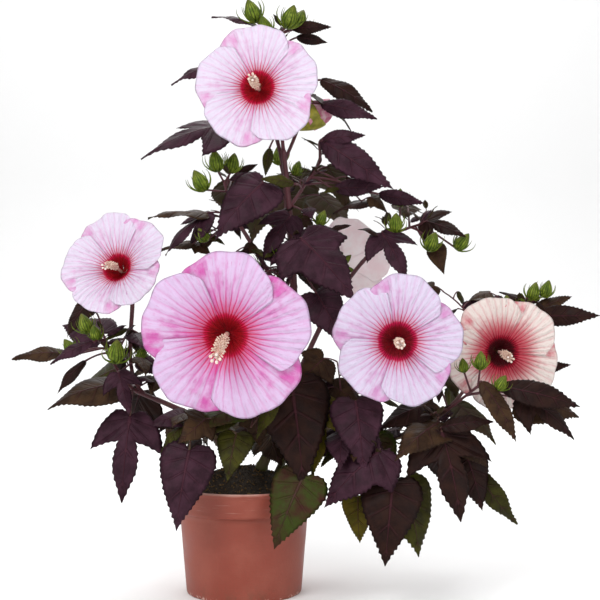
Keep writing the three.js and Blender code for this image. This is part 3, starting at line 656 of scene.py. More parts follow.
def add_limb(bundle, name):
    """One limb, with a ring at each leaf scar and faint ridges along it."""
    limb, run = LIMBS[name], LIMB_RUNS[name]
    path, radii = [], []
    for share in np.linspace(0, 1, int(run.length / (LIMB_STEP * MM))):
        place = run.at(share)
        if "flare" in limb and place[2] < (SOIL_LEVEL - 4) * MM:
            continue
        scar = ((share * run.length / MM) % INTERNODE) - INTERNODE / 2
        ring = 1 + 0.16 * math.exp(-((scar / 1.6) ** 2))
        collar = 1 if "flare" in limb else 1 + 0.5 * math.exp(-share * run.length / (COLLAR_LENGTH * MM))
        ridges = [
            1 + 0.05 * noise.noise(Vector((math.cos(turn) * 3, math.sin(turn) * 3, place[2] / MM / 16)))
            for turn in even_turns(LIMB_SIDES)
        ]
        path.append(place)
        radii.append(limb_radius(limb, share) * ring * collar * np.array(ridges))
    bundle.add_tube(path, radii, LIMB_SIDES)


bark = bark_finish()
limbs = Bundle()
for name in LIMBS:
    add_limb(limbs, name)
stems_and_boughs = limbs.lay("stems_and_boughs", [bark])
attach(stems_and_boughs, "root")
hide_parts(*LIMBS)

# ---- the leafy shoots --------------------------------------------------------------------------
# Each mass of leaves is one shoot: a thin twig off a limb, with long-stalked leaves set in a
# spiral, young shoots in their axils and flower buds at its end. Leaves are thin and a little
# leathery, toothed, puckered between the veins and darkest where the sun reaches them.

# Each shoot: the limb it is on and where, how far its twig runs and which way it sets off, how
# many leaves fill it behind, over how many degrees, and its seed. Each shown leaf: where it is on
# the twig, its stalk, its blade, its shape, its roll and its colour. Each bud: where, and its size.
MASSES = {
    "top_leaves": dict(
        on="main_stem", at=1, by=(-10, 15, 152), fill=2, spread=150, seed=11,
        leaves=[
            (0.95, (-20, 5, 15), (-60, -25, 10), "lance", 20, "plum"),
            (0.75, (-60, 25, 12), (-75, -25, -30), "lance", 15, "plum"),
            (0.95, (20, 10, 15), (50, -10, 0), "lance", 40, "dark"),
            (0.85, (25, 25, 25), (40, 10, -5), "lance", 40, "dark"),
            (0.55, (53, 18, 22), (65, -20, -40), "lance", 10, "dark"),
            (0.45, (52, 0, 5), (69, -25, -21), "lance", 25, "plum"),
            (0.14, (-75, -10, 16), (-100, -25, -42), "lobed", 20, "plum"),
            (0.25, (-15, -10, -25), (-5, -10, -35), "lance", 0, "olive"),
        ],
        buds=[
            (1, (-25, -10, 16), 9.5), (0.97, (-11, -10, 6), 8), (1, (14, -8, 9), 9.5), (1, (25, 12, 10), 9),
            (0.9, (-36, 10, 12), 6),
        ],
    ),
    "upper_left_leaves": dict(
        on="upper_left_bough", at=1, by=(-20, 0, 55), fill=2, spread=150, seed=23,
        leaves=[
            (0.75, (45, -35, 15), (-60, -20, -70), "heart", 0, "plum"),
            (0.4, (-15, 0, -5), (-90, -20, 0), "lance", 30, "brown"),
            (0.25, (-36, -5, 6), (-52, -10, -52), "lobed", 30, "plum"),
            (0.9, (15, 15, 20), (25, 5, 10), "lance", 50, "dark"),
            (0.2, (-45, 20, -30), (-56, 6, -8), "lance", 20, "brown"),
        ],
        buds=[
            (1, (-8, -8, 15), 8.5), (1, (8, 6, 14), 8), (0.85, (-27, -10, 2), 9), (0.3, (-35, -20, -30), 6),
        ],
    ),
    "upper_right_leaves": dict(
        on="main_stem", at=0.84, by=(40, -5, 60), fill=2, spread=120, seed=37,
        leaves=[
            (1, (0, -20, 25), (88, -25, -62), "lance", 30, "plum"),
            (0.97, (4, -22, 28), (52, -12, 4), "lance", 40, "plum"),
            (0.75, (30, 5, -15), (62, -12, 2), "lance", 45, "plum"),
            (0.72, (88, 5, -20), (56, -15, -12), "lance", 40, "plum"),
            (0.6, (95, 20, -20), (-60, -20, -15), "lance", 20, "dark"),
            (0.9, (15, 40, 30), (40, 25, 20), "lance", 20, "plum"),
            (0.5, (-10, -50, 5), (-40, -20, 5), "lance", -20, "olive"),
        ],
    ),
    "right_middle_leaves": dict(
        on="upper_right_bough", at=1, by=(55, -5, 25), fill=2, spread=160, seed=41,
        leaves=[
            (0.3, (-10, -40, 5), (30, -30, -60), "lobed", 0, "plum"),
            (0.95, (5, 0, 5), (50, -30, -20), "lobed", 15, "dark"),
            (0.8, (30, -15, -25), (10, -10, -35), "heart", 20, "brown"),
            (0.5, (-20, -30, -5), (-30, -25, 10), "lance", 10, "dark"),
        ],
        buds=[
            (0.6, (0, -10, 33), 7), (0.45, (0, -44, 4), 8), (0.9, (15, -25, -30), 8.5),
            (1, (45, -10, -32), 8),
        ],
    ),
    "centre_leaves": dict(
        on="main_stem", at=0.66, by=(10, -36, 30), fill=2, spread=120, seed=59,
        leaves=[
            (1, (0, -30, 15), (65, -30, -75), "broad", 0, "plum"),
            (0.7, (-10, -5, 55), (-35, -15, -55), "lobed", 0, "plum"),
            (0.5, (25, -25, -35), (35, -20, -65), "heart", 0, "plum"),
            (0.4, (-15, -25, -30), (-35, -20, 5), "lance", -20, "olive"),
            (0.8, (35, 25, 30), (30, -20, 10), "lance", 0, "dark"),
        ],
        buds=[(0.5, (-50, -30, -10), 6)],
    ),
    "left_leaves": dict(
        on="low_left_stem", at=1, by=(-40, -10, 65), fill=1, spread=150, seed=67,
        leaves=[
            (0.9, (-50, 0, -5), (-70, 0, -6), "lance", 5, "brown"),
            (1, (-10, -30, 0), (-50, -15, -25), "lance", 10, "plum"),
            (0.85, (-30, 0, -10), (-35, -5, -40), "lance", 10, "dark"),
            (0.35, (-10, -20, 0), (-82, -20, -26), "heart", 20, "brown"),
            (0.15, (0, -30, -30), (-10, -15, -105), "lobed", 0, "plum"),
            (0.45, (0, -40, 10), (15, -15, -50), "lobed", 0, "plum"),
            (0.95, (-25, 10, 50), (-25, -10, -40), "heart", 15, "dark"),
            (0.7, (15, -5, 35), (15, -30, 15), "lance", 0, "plum"),
            (0.8, (-20, 60, 25), (-60, 50, 10), "heart", 0, "plum"),
            (0.5, (-10, 55, 5), (-60, 60, -40), "heart", 0, "olive"),
            (0.2, (5, 60, -10), (-20, 50, -80), "lobed", 0, "dark"),
        ],
        buds=[
            (1, (-20, -10, 14), 8), (1, (-8, -20, 6), 6.5), (0.8, (10, -40, 0), 10),
            (0.95, (-38, -15, -8), 7.5),
        ],
    ),
    "low_left_leaves": dict(
        on="low_left_stem", at=0.55, by=(-15, -50, -6), fill=2, spread=150, seed=71,
        leaves=[
            (1, (0, -30, -15), (-15, -15, -95), "heart", 0, "plum"),
            (0.6, (-15, -15, 10), (-30, -20, -35), "lance", 20, "olive"),
            (0.5, (50, -30, 30), (-55, -30, -25), "heart", 20, "green"),
            (0.7, (50, -30, 0), (-10, -20, -55), "heart", 0, "olive"),
        ],
    ),
    "front_leaves": dict(
        on="main_stem", at=0.27, by=(0, -62, 25), fill=1, spread=100, seed=83,
        leaves=[
            (1, (5, -15, 20), (5, -25, -125), "heart", 0, "dark"),
            (0.8, (25, -45, -85), (-35, -15, -85), "heart", 0, "green"),
            (0.5, (50, -30, -20), (-15, -25, -60), "lance", 20, "gold"),
            (0.6, (-25, -45, 20), (-35, -10, -50), "lance", 10, "olive"),
            (0.7, (45, -25, 5), (35, -15, -40), "heart", 10, "gold"),
            (0.3, (25, -30, -25), (-20, -25, -45), "lance", 30, "dark"),
        ],
    ),
    "low_right_leaves": dict(
        on="low_right_stem", at=0.46, by=(40, -58, -5), fill=2, spread=150, seed=97,
        leaves=[
            (0.6, (0, -35, 70), (10, -20, -85), "heart", 0, "plum"),
            (1, (10, -15, 15), (-70, -10, -68), "broad", 0, "plum"),
            (0.8, (15, 5, 25), (15, -15, -70), "heart", 0, "green"),
            (1, (25, -20, -25), (-10, -10, -100), "heart", 0, "dark"),
            (0.9, (45, 0, -30), (20, -10, -90), "heart", -10, "olive"),
            (0.5, (8, -25, -50), (2, 0, -58), "heart", 20, "gold"),
        ],
    ),
    "right_leaves": dict(
        on="low_right_stem", at=0.87, by=(15, -42, 0), fill=2, spread=120, seed=101,
        leaves=[
            (1, (0, -10, 0), (22, -20, -106), "lobed", 0, "dark"),
            (1, (0, -8, 5), (60, -15, 10), "lance", 10, "dark"),
            (0.8, (0, -5, 10), (-70, -15, -40), "heart", 10, "brown"),
            (0.7, (15, 5, 0), (50, -10, -45), "broad", 0, "brown"),
            (0.5, (45, 15, -35), (20, -5, -70), "heart", 0, "dark"),
            (0.4, (60, 20, -55), (50, -5, -70), "lance", 50, "olive"),
            (0.4, (-8, -4, 28), (-62, 6, -34), "heart", 20, "dark"),
            (0.5, (25, 95, -30), (30, 50, -75), "heart", 0, "dark"),
        ],
    ),
    "far_right_leaves": dict(
        on="low_right_stem", at=0.88, by=(58, -56, 56), fill=2, spread=150, seed=113,
        leaves=[
            (1, (0, -15, 5), (40, -20, -70), "lance", 0, "brown"),
            (0.95, (30, -10, 2), (92, -15, -22), "lance", 20, "dark"),
            (0.8, (69, -7, 0), (62, -8, -50), "lobed", 0, "dark"),
            (0.8, (68, 8, -4), (78, 20, -24), "heart", 10, "brown"),
            (0.5, (-25, 0, -5), (-20, -10, 0), "lance", 20, "dark"),
        ],
        buds=[(1, (2, -6, 22), 7), (0.9, (-9, -6, 25), 5.5), (1, (22, -12, -2), 6.5)],
    ),
    "far_right_upper_leaves": dict(
        on="low_right_stem", at=0.72, by=(160, 66, 150), lead=(30, 45, 40), fill=2, spread=200, seed=127,
        leaves=[
            (0.98, (30, -15, 5), (74, -38, 2), "lance", 45, "dark"),
            (0.98, (25, 0, 8), (56, 5, 22), "lance", 10, "brown"),
            (0.9, (5, -20, 30), (-40, -20, 15), "heart", 20, "brown"),
            (0.95, (24, -17, 26), (-34, -5, 17), "heart", 20, "dark"),
            (0.75, (80, 20, -20), (50, -20, 8), "lance", 40, "dark"),
            (0.6, (-20, 25, 55), (-50, -25, 30), "lance", 20, "plum"),
            (0.85, (35, 55, 0), (60, 60, -25), "heart", 0, "dark"),
            (0.5, (25, 80, -5), (35, 60, -50), "heart", 0, "olive"),
        ],
        buds=[(1, (-5, -20, 14), 7), (1, (10, -10, 14), 7.5)],
    ),
    "back_left_leaves": dict(
        on="back_left_stem", at=0.7, by=(-45, 25, 55), fill=5, spread=280, seed=131,
        buds=[(1, (-5, 10, 20), 8)],
    ),
    "back_right_leaves": dict(
        on="back_right_stem", at=0.45, by=(95, -5, 70), fill=6, spread=280, seed=149,
        buds=[(1, (10, 5, 20), 8)],
    ),
    "back_upper_leaves": dict(
        on="back_bough", at=1, by=(-6, 14, 70), fill=6, spread=200, seed=173,
        buds=[(1, (-5, 5, 20), 8), (0.9, (15, 10, 15), 6.5)],
    ),
    "back_middle_leaves": dict(on="main_stem", at=0.6, by=(-22, 48, 26), fill=5, spread=240, seed=211),
    "back_low_leaves": dict(on="back_right_stem", at=0.3, by=(-25, 55, 25), fill=5, spread=240, seed=179),
    "back_low_left_leaves": dict(
        on="back_left_stem", at=0.35, by=(-50, 35, 10), fill=6, spread=240, seed=191,
    ),
}
GAP = 0.3
TURNS = (0, 25, -25, 50, -50)
GOLDEN_TURN = 137.5
TWIG_RADIUS = 2.4
TWIG_TIP_RADIUS = 1.5
TWIG_STEPS = 18
STALK_RADIUS = 1.15
SIDE_TWIG_RADIUS = 1.3
SIDE_TWIG_TIP_RADIUS = 0.9
SIDE_STALK_RADIUS = 0.8
BUD_STALK_RADIUS = 1.3
BLADE_THICKNESS = 0.5
BLADE_ARCH = 0.07
BLADE_FOLD = 0.22
TEETH = 20
VEINS = 6
YOUNG_SHOOTS = 0.6
BUD_SETBACK = 0.97
BUD_SWELL = 1.1
BUD_HEIGHT = 2.8
TIP_WITHIN = 1.2
NECK_WITHIN = 2.5
BUD_WITHIN = 3
UP = np.array([0, 0, 1])
COLUMNS = np.array([-1, -0.86, -0.58, -0.28, 0, 0.28, 0.58, 0.86, 1])

# Half outlines as shares of the blade's length: a place on the midrib, then how far forward and
# how far out the edge lies on the vein that leaves it. A repeated row keeps its corner sharp. All
# run from the same foot to the same tip.
LEAF_FOOT = (0, 0, 0.006)
LEAF_TIP = (1, 1, 0.004)
LEAF_EDGES = {
    "heart": [
        (0, -0.06, 0.06), (0.002, -0.10, 0.18), (0.008, -0.04, 0.31), (0.03, 0.09, 0.37), (0.1, 0.26, 0.355),
        (0.24, 0.44, 0.285), (0.42, 0.62, 0.195), (0.64, 0.79, 0.1), (0.86, 0.92, 0.035),
    ],
    "lobed": [
        (0, -0.05, 0.05), (0.002, -0.08, 0.16), (0.01, 0.02, 0.28), (0.03, 0.18, 0.4), (0.06, 0.42, 0.46),
        (0.06, 0.42, 0.46), (0.1, 0.34, 0.28), (0.15, 0.3, 0.11), (0.15, 0.3, 0.11), (0.28, 0.45, 0.155),
        (0.44, 0.62, 0.16), (0.64, 0.77, 0.1), (0.86, 0.91, 0.035),
    ],
    "broad": [
        (0, -0.06, 0.06), (0.002, -0.11, 0.2), (0.008, -0.05, 0.34), (0.03, 0.08, 0.42), (0.06, 0.28, 0.52),
        (0.06, 0.28, 0.52), (0.12, 0.31, 0.38), (0.18, 0.36, 0.29), (0.18, 0.36, 0.29), (0.3, 0.5, 0.28),
        (0.45, 0.64, 0.2), (0.66, 0.8, 0.1), (0.86, 0.92, 0.035),
    ],
    "lance": [
        (0.005, 0, 0.05), (0.04, 0.12, 0.12), (0.16, 0.3, 0.17), (0.33, 0.48, 0.17), (0.54, 0.67, 0.125),
        (0.78, 0.84, 0.055),
    ],
}

LEAF_COLOURS = {
    "plum": ((0.023, 0.0070, 0.0130, 1), (0.051, 0.018, 0.031, 1)),
    "dark": ((0.012, 0.0040, 0.0032, 1), (0.026, 0.0095, 0.0065, 1)),
    "brown": ((0.022, 0.010, 0.005, 1), (0.054, 0.027, 0.012, 1)),
    "olive": ((0.022, 0.019, 0.0035, 1), (0.052, 0.050, 0.006, 1)),
    "green": ((0.034, 0.050, 0.006, 1), (0.044, 0.014, 0.009, 1)),
    "gold": ((0.060, 0.050, 0.003, 1), (0.105, 0.075, 0.006, 1)),
}
LEAF_UNDERSIDE = ((0.045, 0.038, 0.012, 1), (0.07, 0.04, 0.026, 1))
MIDRIB = (0.066, 0.016, 0.026, 1)
FINISHES = list(LEAF_COLOURS) + ["underside"]
FILLING_FINISHES = ("dark", "plum", "olive", "brown")

# Which way a leaf's upper side turns: to the front, or more upwards on a young shoot. The leaves
# that fill a shoot behind turn theirs up and outwards.
FRONT_LIGHT = np.array([0, -0.75, 0.65])
YOUNG_LIGHT = np.array([0, -0.4, 1.0])


def off_stripe(across, stripes):
    """How far a place lies from the middle of the nearest of so many even stripes."""
    return abs((across * stripes).maths("FRACT") - 0.5)


def leaf_finish(name, dark, pale):
    material, shader, place = new_finish("hibiscus leaf " + name, 0.5, Specular_IOR_Level=0.11)
    across, down, _ = parted(laid_out(place))
    mottle = cloud(place, 60, 4)
    grain = cloud(place, 420, 3, 0.6)
    off_rib = abs(across - 0.5)
    rib = ramp(off_rib, 0.035, 0.012)
    vein = ramp(off_stripe(down, VEINS), 0.11, 0.03) * ramp(off_rib, 0.5, 0.1)
    set_sockets(shader, {
        "Base Color": painted(
            dark,
            (ramp(mottle, 0.35, 0.72), pale),
            (ramp(grain, 0.4, 0.75, 0, 0.3), pale),
            (vein * 0.2, MIDRIB),
            (rib * 0.45, MIDRIB),
        ),
        "Roughness": ramp(mottle, 0.3, 0.7, 0.44, 0.62),
        "Normal": embossed((grain, 0.0006, 0.8), (vein.maths("MAXIMUM", rib), 0.0018, 0.8)),
    })
    return material


def rounded(rows, times=2):
    """Cuts the corners of an outline, so that it runs smoothly between its rows."""
    rows = np.array(rows, dtype=float)
    for _ in range(times):
        near = rows[:-1] * 0.75 + rows[1:] * 0.25
        far = rows[:-1] * 0.25 + rows[1:] * 0.75
        between = np.stack([near, far], axis=1).reshape(-1, 3)
        rows = np.concatenate([rows[:1], between, rows[-1:]])
    return rows


def toothed_edge(shape, teeth, depth):
    """Rows of (midrib, forward, out) down half a leaf, two to a tooth, the teeth cut forward."""
    rows = rounded([LEAF_FOOT, *LEAF_EDGES[shape], LEAF_TIP, LEAF_TIP])
    steps = np.linalg.norm(np.diff(rows[:, 1:], axis=0), axis=1)
    run = np.concatenate([[0], np.cumsum(steps)])
    spots = np.linspace(0, run[-1], 2 * teeth + 1)
    edge = np.stack([np.interp(spots, run, rows[:, column]) for column in range(3)], axis=1)
    ahead = np.gradient(edge[:, 1:], axis=0)
    ahead /= np.maximum(np.linalg.norm(ahead, axis=1), 1e-9)[:, None]
    jut = np.where(np.arange(len(edge)) % 2, depth, -depth * 0.4)
    jut = jut * np.random.default_rng(teeth).uniform(0.45, 1.4, len(edge))
    jut[:2] = jut[-3:] = 0
    edge[:, 1] += -ahead[:, 1] * jut + ahead[:, 0] * jut * 0.5
    edge[:, 2] = np.maximum(edge[:, 2] + ahead[:, 0] * jut, 0.002)
    return edge


TOOTHED = {
    "heart": toothed_edge("heart", TEETH, 0.013),
    "lobed": toothed_edge("lobed", TEETH + 3, 0.011),
    "broad": toothed_edge("broad", TEETH + 5, 0.013),
    "lance": toothed_edge("lance", TEETH - 3, 0.010),
    "young": toothed_edge("lance", 8, 0.014),
}


def add_leaf(bundle, neck, reach, shape, lit, roll, finish, chance):
    """A toothed blade, arched along its length, folded down from its midrib and puckered."""
    length = np.linalg.norm(reach)
    along = reach / length
    upper = unit(lit - along * np.dot(lit, along))
    tilt = math.radians(roll)
    upper = upper * math.cos(tilt) + np.cross(along, upper) * math.sin(tilt)
    aside = np.cross(along, upper)
    edge = TOOTHED[shape]
    midrib, forward, out = (edge[:, column, None] for column in range(3))
    share = np.abs(COLUMNS)[None]
    side = -np.sign(COLUMNS)[None]
    ahead = midrib + (forward - midrib) * share
    width = out * share * (0.94 + 0.12 * chance.random())
    sway = 0.05 * (chance.random() - 0.5)
    down = np.linspace(0, 1, len(edge))[:, None]
    wave = 0.02 * np.sin(math.tau * (1.6 + chance.random()) * down + 6 * chance.random()) * share**2
    pucker = 0.007 * np.cos(math.tau * VEINS * down) * np.sin(math.pi * share) * np.minimum(1, out * 5)
    curl = 0.05 * (0.3 + chance.random()) * np.clip(ahead, 0, 1) ** 4
    lift = 4 * BLADE_ARCH * ahead * (1 - ahead) - BLADE_FOLD * width + wave * side + pucker - curl
    grid = (
        neck
        + along * (ahead * length)[..., None]
        + aside * ((width * side + sway * ahead * (1 - ahead)) * length)[..., None]
        + upper * (lift * length)[..., None]
    )
    bundle.add_sheet(grid, BLADE_THICKNESS * MM, FINISHES.index(finish), FINISHES.index("underside"))


WORD = 0xFFFFFFFF


def seeded(seed):
    """The same draws from 0 to 1 on every run, by the generator of 32-bit words mulberry32."""
    state = seed

    def draw():
        nonlocal state
        state = (state + 0x6D2B79F5) & WORD
        shaken = ((state ^ (state >> 15)) * (1 | state)) & WORD
        mixed = ((shaken ^ (shaken >> 7)) * (61 | shaken)) & WORD
        shaken = ((shaken + mixed) & WORD) ^ shaken
        return (shaken ^ (shaken >> 14)) / (WORD + 1)

    return draw


def bent(steps, start, bend, end):
    """Places on a curve that leaves start towards bend and comes into end from it."""
    return (1 - steps) ** 2 * start + 2 * steps * (1 - steps) * bend + steps**2 * end


def swept(steps, start, leave, arrive, end):
    """Places on a curve that leaves start towards one place and comes into end from another."""
    return (
        (1 - steps) ** 3 * start + 3 * steps * (1 - steps) ** 2 * leave
        + 3 * steps**2 * (1 - steps) * arrive + steps**3 * end
    )


def seat_on(name, share):
    """Where a twig leaves a limb: a hair off its end, or from inside it elsewhere."""
    place = LIMB_RUNS[name].at(share)
    return place + LIMB_RUNS[name].along(share) * GAP * MM if share == 1 else place


def about_upright(vector, degrees):
    """A direction turned about the upright axis."""
    turn = math.radians(degrees)
    x, y, z = vector
    return np.array([x * math.cos(turn) - y * math.sin(turn), x * math.sin(turn) + y * math.cos(turn), z])


def shown_leaves(mass):
    """The leaves that are listed one by one."""
    return [
        (station, np.array(stalk, float), np.array(blade, float), shape, roll, finish, None)
        for station, stalk, blade, shape, roll, finish in mass.get("leaves", [])
    ]


def filling_leaves(mass):
    """Leaves behind the shown ones, spaced by the golden turn as on a shoot."""
    draw = seeded(mass["seed"])
    leaves = []
    for place in range(mass["fill"]):
        share = ((place * GOLDEN_TURN + mass["seed"]) % 360) / 360
        heading = math.radians(180 + mass["spread"] * (share - 0.5))
        out = np.array([math.sin(heading), -math.cos(heading), 0])
        stalk = out * (30 + 35 * draw())
        stalk[2] = 5 + 30 * draw()
        blade = out * (38 + 26 * draw())
        blade[2] = -15 - 55 * draw()
        roll = 40 * draw() - 20
        station = 0.25 + 0.7 * (place + 0.5) / mass["fill"]
        leaves.append((station, stalk, blade, "heart", roll, FILLING_FINISHES[place % 4], out))
    return leaves


def twig_run(mass):
    """The course of a mass's twig: off its limb, and round to where it ends."""
    root = seat_on(mass["on"], mass["at"])
    by = np.array(mass["by"], float) * MM
    outwards = LIMB_RUNS[mass["on"]].along(mass["at"]) if mass["at"] == 1 else unit(by)
    lead = np.array(mass["lead"]) * MM if "lead" in mass else outwards * 0.3 * np.linalg.norm(by)
    return lambda share: bent(share, root, root + lead, root + by)


def solid_skin(name):
    """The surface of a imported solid, to measure from."""
    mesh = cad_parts[name].data
    corners = [corner.co for corner in mesh.vertices]
    return BVHTree.FromPolygons(corners, [face.vertices for face in mesh.polygons])


def on_skin(skin, place, within):
    """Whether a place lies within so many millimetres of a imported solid's surface."""
    return skin.find_nearest(Vector(place), within * MM)[0] is not None


def add_stalk(bundle, start, neck, reach, radius=STALK_RADIUS):
    """A leaf stalk that leaves its twig upwards and comes round into the blade."""
    run = np.linalg.norm(neck - start)
    rise = start + unit(neck - start + 0.35 * run * UP) * 0.33 * run
    arrive = neck - unit(unit(reach) + 1.4 * unit(neck - start)) * 0.33 * run
    steps = np.linspace(0, 1, 9)[:, None]
    path = swept(steps, start, rise, arrive, neck)
    radii = radius * MM * (1 + 0.5 * (1 - steps[:, 0]) ** 4 + 0.25 * steps[:, 0] ** 6)
    bundle.add_tube(path, radii, 7)


def add_young_shoot(leaves, twigs, start, heading, size, chance):
    """A short side shoot in a leaf's axil, with three small leaves that have yet to open out."""
    tip = start + unit(heading + 0.9 * UP) * size * MM
    twigs.add_tube(np.linspace(start, tip, 4), [0.9 * MM, 0.8 * MM, 0.75 * MM, 0.6 * MM], 6)
    for place in range(3):
        spin = math.tau * (place / 3 + chance.random() * 0.2)
        out = np.array([math.cos(spin), math.sin(spin), 0.25 + 0.5 * chance.random()])
        root = start + (tip - start) * (0.5 + 0.25 * place)
        reach = unit(out) * (0.5 * size + 8 + 12 * chance.random()) * MM
        neck = root + unit(out) * 4 * MM
        twigs.add_tube(np.linspace(root, neck, 3), [0.6 * MM] * 3, 5)
        finish = ("plum", "brown", "dark")[place]
        add_leaf(leaves, neck, reach, "young", YOUNG_LIGHT, 20, finish, chance)


# Side shoots: where each one ends, the length of its leaves, how many, and the bud at its end.
SIDE_SHOOTS = {
    "centre_leaves": [
        ((44, -46, 430), 24, 3, 8), ((14, -44, 410), 26, 3, 9), ((-8, -30, 436), 34, 4, 0),
        ((36, -40, 404), 30, 4, 0),
    ],
    "upper_left_leaves": [((-36, -22, 452), 30, 4, 0), ((-70, -20, 440), 28, 4, 0)],
    "low_right_leaves": [
        ((118, -66, 300), 46, 4, 0), ((100, -60, 262), 38, 4, 0), ((122, -60, 214), 58, 4, 0),
        ((150, -50, 200), 56, 4, 0),
    ],
    "front_leaves": [((-28, -96, 228), 56, 4, 0), ((12, -92, 222), 50, 4, 0), ((24, 26, 178), 56, 5, 0)],
    "low_left_leaves": [((-58, -70, 236), 40, 4, 0), ((-48, 12, 186), 52, 5, 0)],
    "left_leaves": [((-118, -56, 336), 34, 4, 0), ((-128, -50, 300), 36, 4, 7), ((-104, -40, 276), 34, 4, 0)],
    "right_leaves": [((214, -40, 236), 34, 4, 0), ((176, -30, 262), 32, 4, 0), ((196, -50, 196), 50, 4, 0)],
    "far_right_upper_leaves": [
        ((371, 16, 374), 20, 2, 8.5), ((388, 18, 378), 20, 2, 8), ((330, 22, 376), 34, 4, 0),
        ((258, 20, 384), 34, 4, 0),
    ],
    "upper_right_leaves": [((150, -12, 500), 32, 4, 0), ((96, -30, 470), 30, 4, 7)],
    "far_right_leaves": [((236, -50, 286), 24, 4, 0)],
}


def add_side_shoot(leaves, twigs, twig, tip, length, count, chance):
    """A twig off the nearest part of the shoot, with its own leaves set round it in a spiral."""
    tip = np.array(tip, float) * MM
    places = [twig(share) for share in np.linspace(0.1, 1, 19)]
    start = min(places, key=lambda place: np.linalg.norm(place - tip))
    run = np.linalg.norm(tip - start)
    bend = (start + tip) / 2 + 0.18 * run * UP
    path = bent(np.linspace(0, 1, 10)[:, None], start, bend, tip)
    twigs.add_tube(path, np.linspace(SIDE_TWIG_RADIUS, SIDE_TWIG_TIP_RADIUS, 10) * MM, 7)
    for place in range(count):
        spin = math.radians(GOLDEN_TURN * place + 360 * chance.random())
        out = np.array([math.cos(spin), 0.6 * math.sin(spin) - 0.3, 0.15 + 0.4 * chance.random()])
        root = path[int(4 + 5 * place / max(count - 1, 1))]
        neck = root + unit(out) * (6 + 0.25 * length) * MM
        droop = unit(out + (-0.5 - 0.7 * chance.random()) * UP)
        reach = droop * length * (0.75 + 0.45 * chance.random()) * MM
        add_stalk(twigs, root, neck, reach, SIDE_STALK_RADIUS)
        shape = ("lance", "heart", "lance", "broad")[place % 4]
        roll = 30 - 60 * chance.random()
        add_leaf(leaves, neck, reach, shape, FRONT_LIGHT, roll, FILLING_FINISHES[place % 4], chance)
    return tip


# The pieces that the shoots' leaves are gathered into.
FOLIAGE = {
    "upper_foliage": [
        "top_leaves", "upper_left_leaves", "upper_right_leaves", "right_middle_leaves", "centre_leaves",
    ],
    "lower_foliage": ["left_leaves", "low_left_leaves", "front_leaves", "low_right_leaves", "right_leaves"],
    "right_foliage": ["far_right_leaves", "far_right_upper_leaves"],
    "back_foliage": [name for name in MASSES if name.startswith("back")],
}
leaf_twigs = Bundle()
blades_of = {piece: Bundle() for piece in FOLIAGE}
buds_set = []
for name, mass in MASSES.items():
    leaf_blades = next(blades_of[piece] for piece, names in FOLIAGE.items() if name in names)
    chance = np.random.default_rng(mass["seed"])
    twig = twig_run(mass)
    skin = solid_skin(name)
    steps = np.linspace(0, 1, TWIG_STEPS)
    joints = 0.35 * (np.arange(TWIG_STEPS) % 4 == 0)
    radii = (TWIG_RADIUS + (TWIG_TIP_RADIUS - TWIG_RADIUS) * steps + joints) * MM
    leaf_twigs.add_tube([twig(step) for step in steps], radii, 10)
    for station, stalk, blade, shape, roll, finish, out in shown_leaves(mass) + filling_leaves(mass):
        start = twig(station)
        lit = FRONT_LIGHT if out is None else out * 0.6 + UP
        for turn in TURNS:
            neck = start + about_upright(stalk, turn) * MM
            reach = about_upright(blade, turn) * MM
            if on_skin(skin, neck + reach, TIP_WITHIN) and on_skin(skin, neck, NECK_WITHIN):
                add_stalk(leaf_twigs, start, neck, reach)
                add_leaf(leaf_blades, neck, reach, shape, lit, roll, finish, chance)
                if chance.random() < YOUNG_SHOOTS:
                    size = 10 + 14 * chance.random()
                    add_young_shoot(leaf_blades, leaf_twigs, start, unit(neck - start), size, chance)
                break
    for tip, length, count, bud in SIDE_SHOOTS.get(name, []):
        end = add_side_shoot(leaf_blades, leaf_twigs, twig, tip, length, count, chance)
        if bud:
            buds_set.append((end, unit(unit(end - twig(0.5)) * 0.5 + UP), bud * MM))
    for station, stalk, size in mass.get("buds", []):
        start = twig(station * BUD_SETBACK)
        base = start + np.array(stalk) * MM
        lean = unit(unit(base - start) * 0.6 + UP)
        if on_skin(skin, base + lean * BUD_HEIGHT * size * MM, BUD_WITHIN):
            leaf_twigs.add_tube(np.linspace(start, base, 5), [BUD_STALK_RADIUS * MM] * 5, 7)
            buds_set.append((base, lean, BUD_SWELL * size * MM))

leaf_finishes = [leaf_finish(name, *tones) for name, tones in LEAF_COLOURS.items()]
leaf_finishes.append(leaf_finish("underside", *LEAF_UNDERSIDE))
for piece, blades in blades_of.items():
    foliage = blades.lay(piece, leaf_finishes)
    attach(foliage, "root")
    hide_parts(*FOLIAGE[piece])
shoots = leaf_twigs.lay("leafy_twigs", [bark])
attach(shoots, "root")
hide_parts(*MASSES)

# ---- the flower buds ---------------------------------------------------------------------------
# A bud is five green sepals closed edge to edge in a ribbed egg with a short point. A whorl of
# thin green bracts curls out from under it.

SEPAL_GREEN = (0.082, 0.135, 0.008, 1)
SEPAL_PALE = (0.23, 0.30, 0.030, 1)
SEPAL_SEAM = (0.016, 0.020, 0.006, 1)
SEPAL_BLUSH = (0.07, 0.022, 0.014, 1)
BUD_RIBS = 15


def stood_tree():
    """Stands a shape on every point, turned and sized by the point's own values."""
    tree, given, result = new_tree("stood on points", {"Shape": "Object", "Finish": "Material"})
    shape = new_node(tree, "GeometryNodeObjectInfo", {"Object": given["Shape"]}, "Geometry")
    turn = new_node(tree, "GeometryNodeInputNamedAttribute", {"Name": "turn"}, data_type="FLOAT_VECTOR")
    facing = new_node(tree, "FunctionNodeEulerToRotation", {0: turn})
    size = new_node(tree, "GeometryNodeInputNamedAttribute", {"Name": "size"}, data_type="FLOAT")
    points = new_node(tree, "GeometryNodeMeshToPoints", {"Mesh": given["Geometry"]})
    set_sockets(result, stood_copies(tree, points, shape, facing, size, given["Finish"]))
    return tree


stood_on_points = stood_tree()


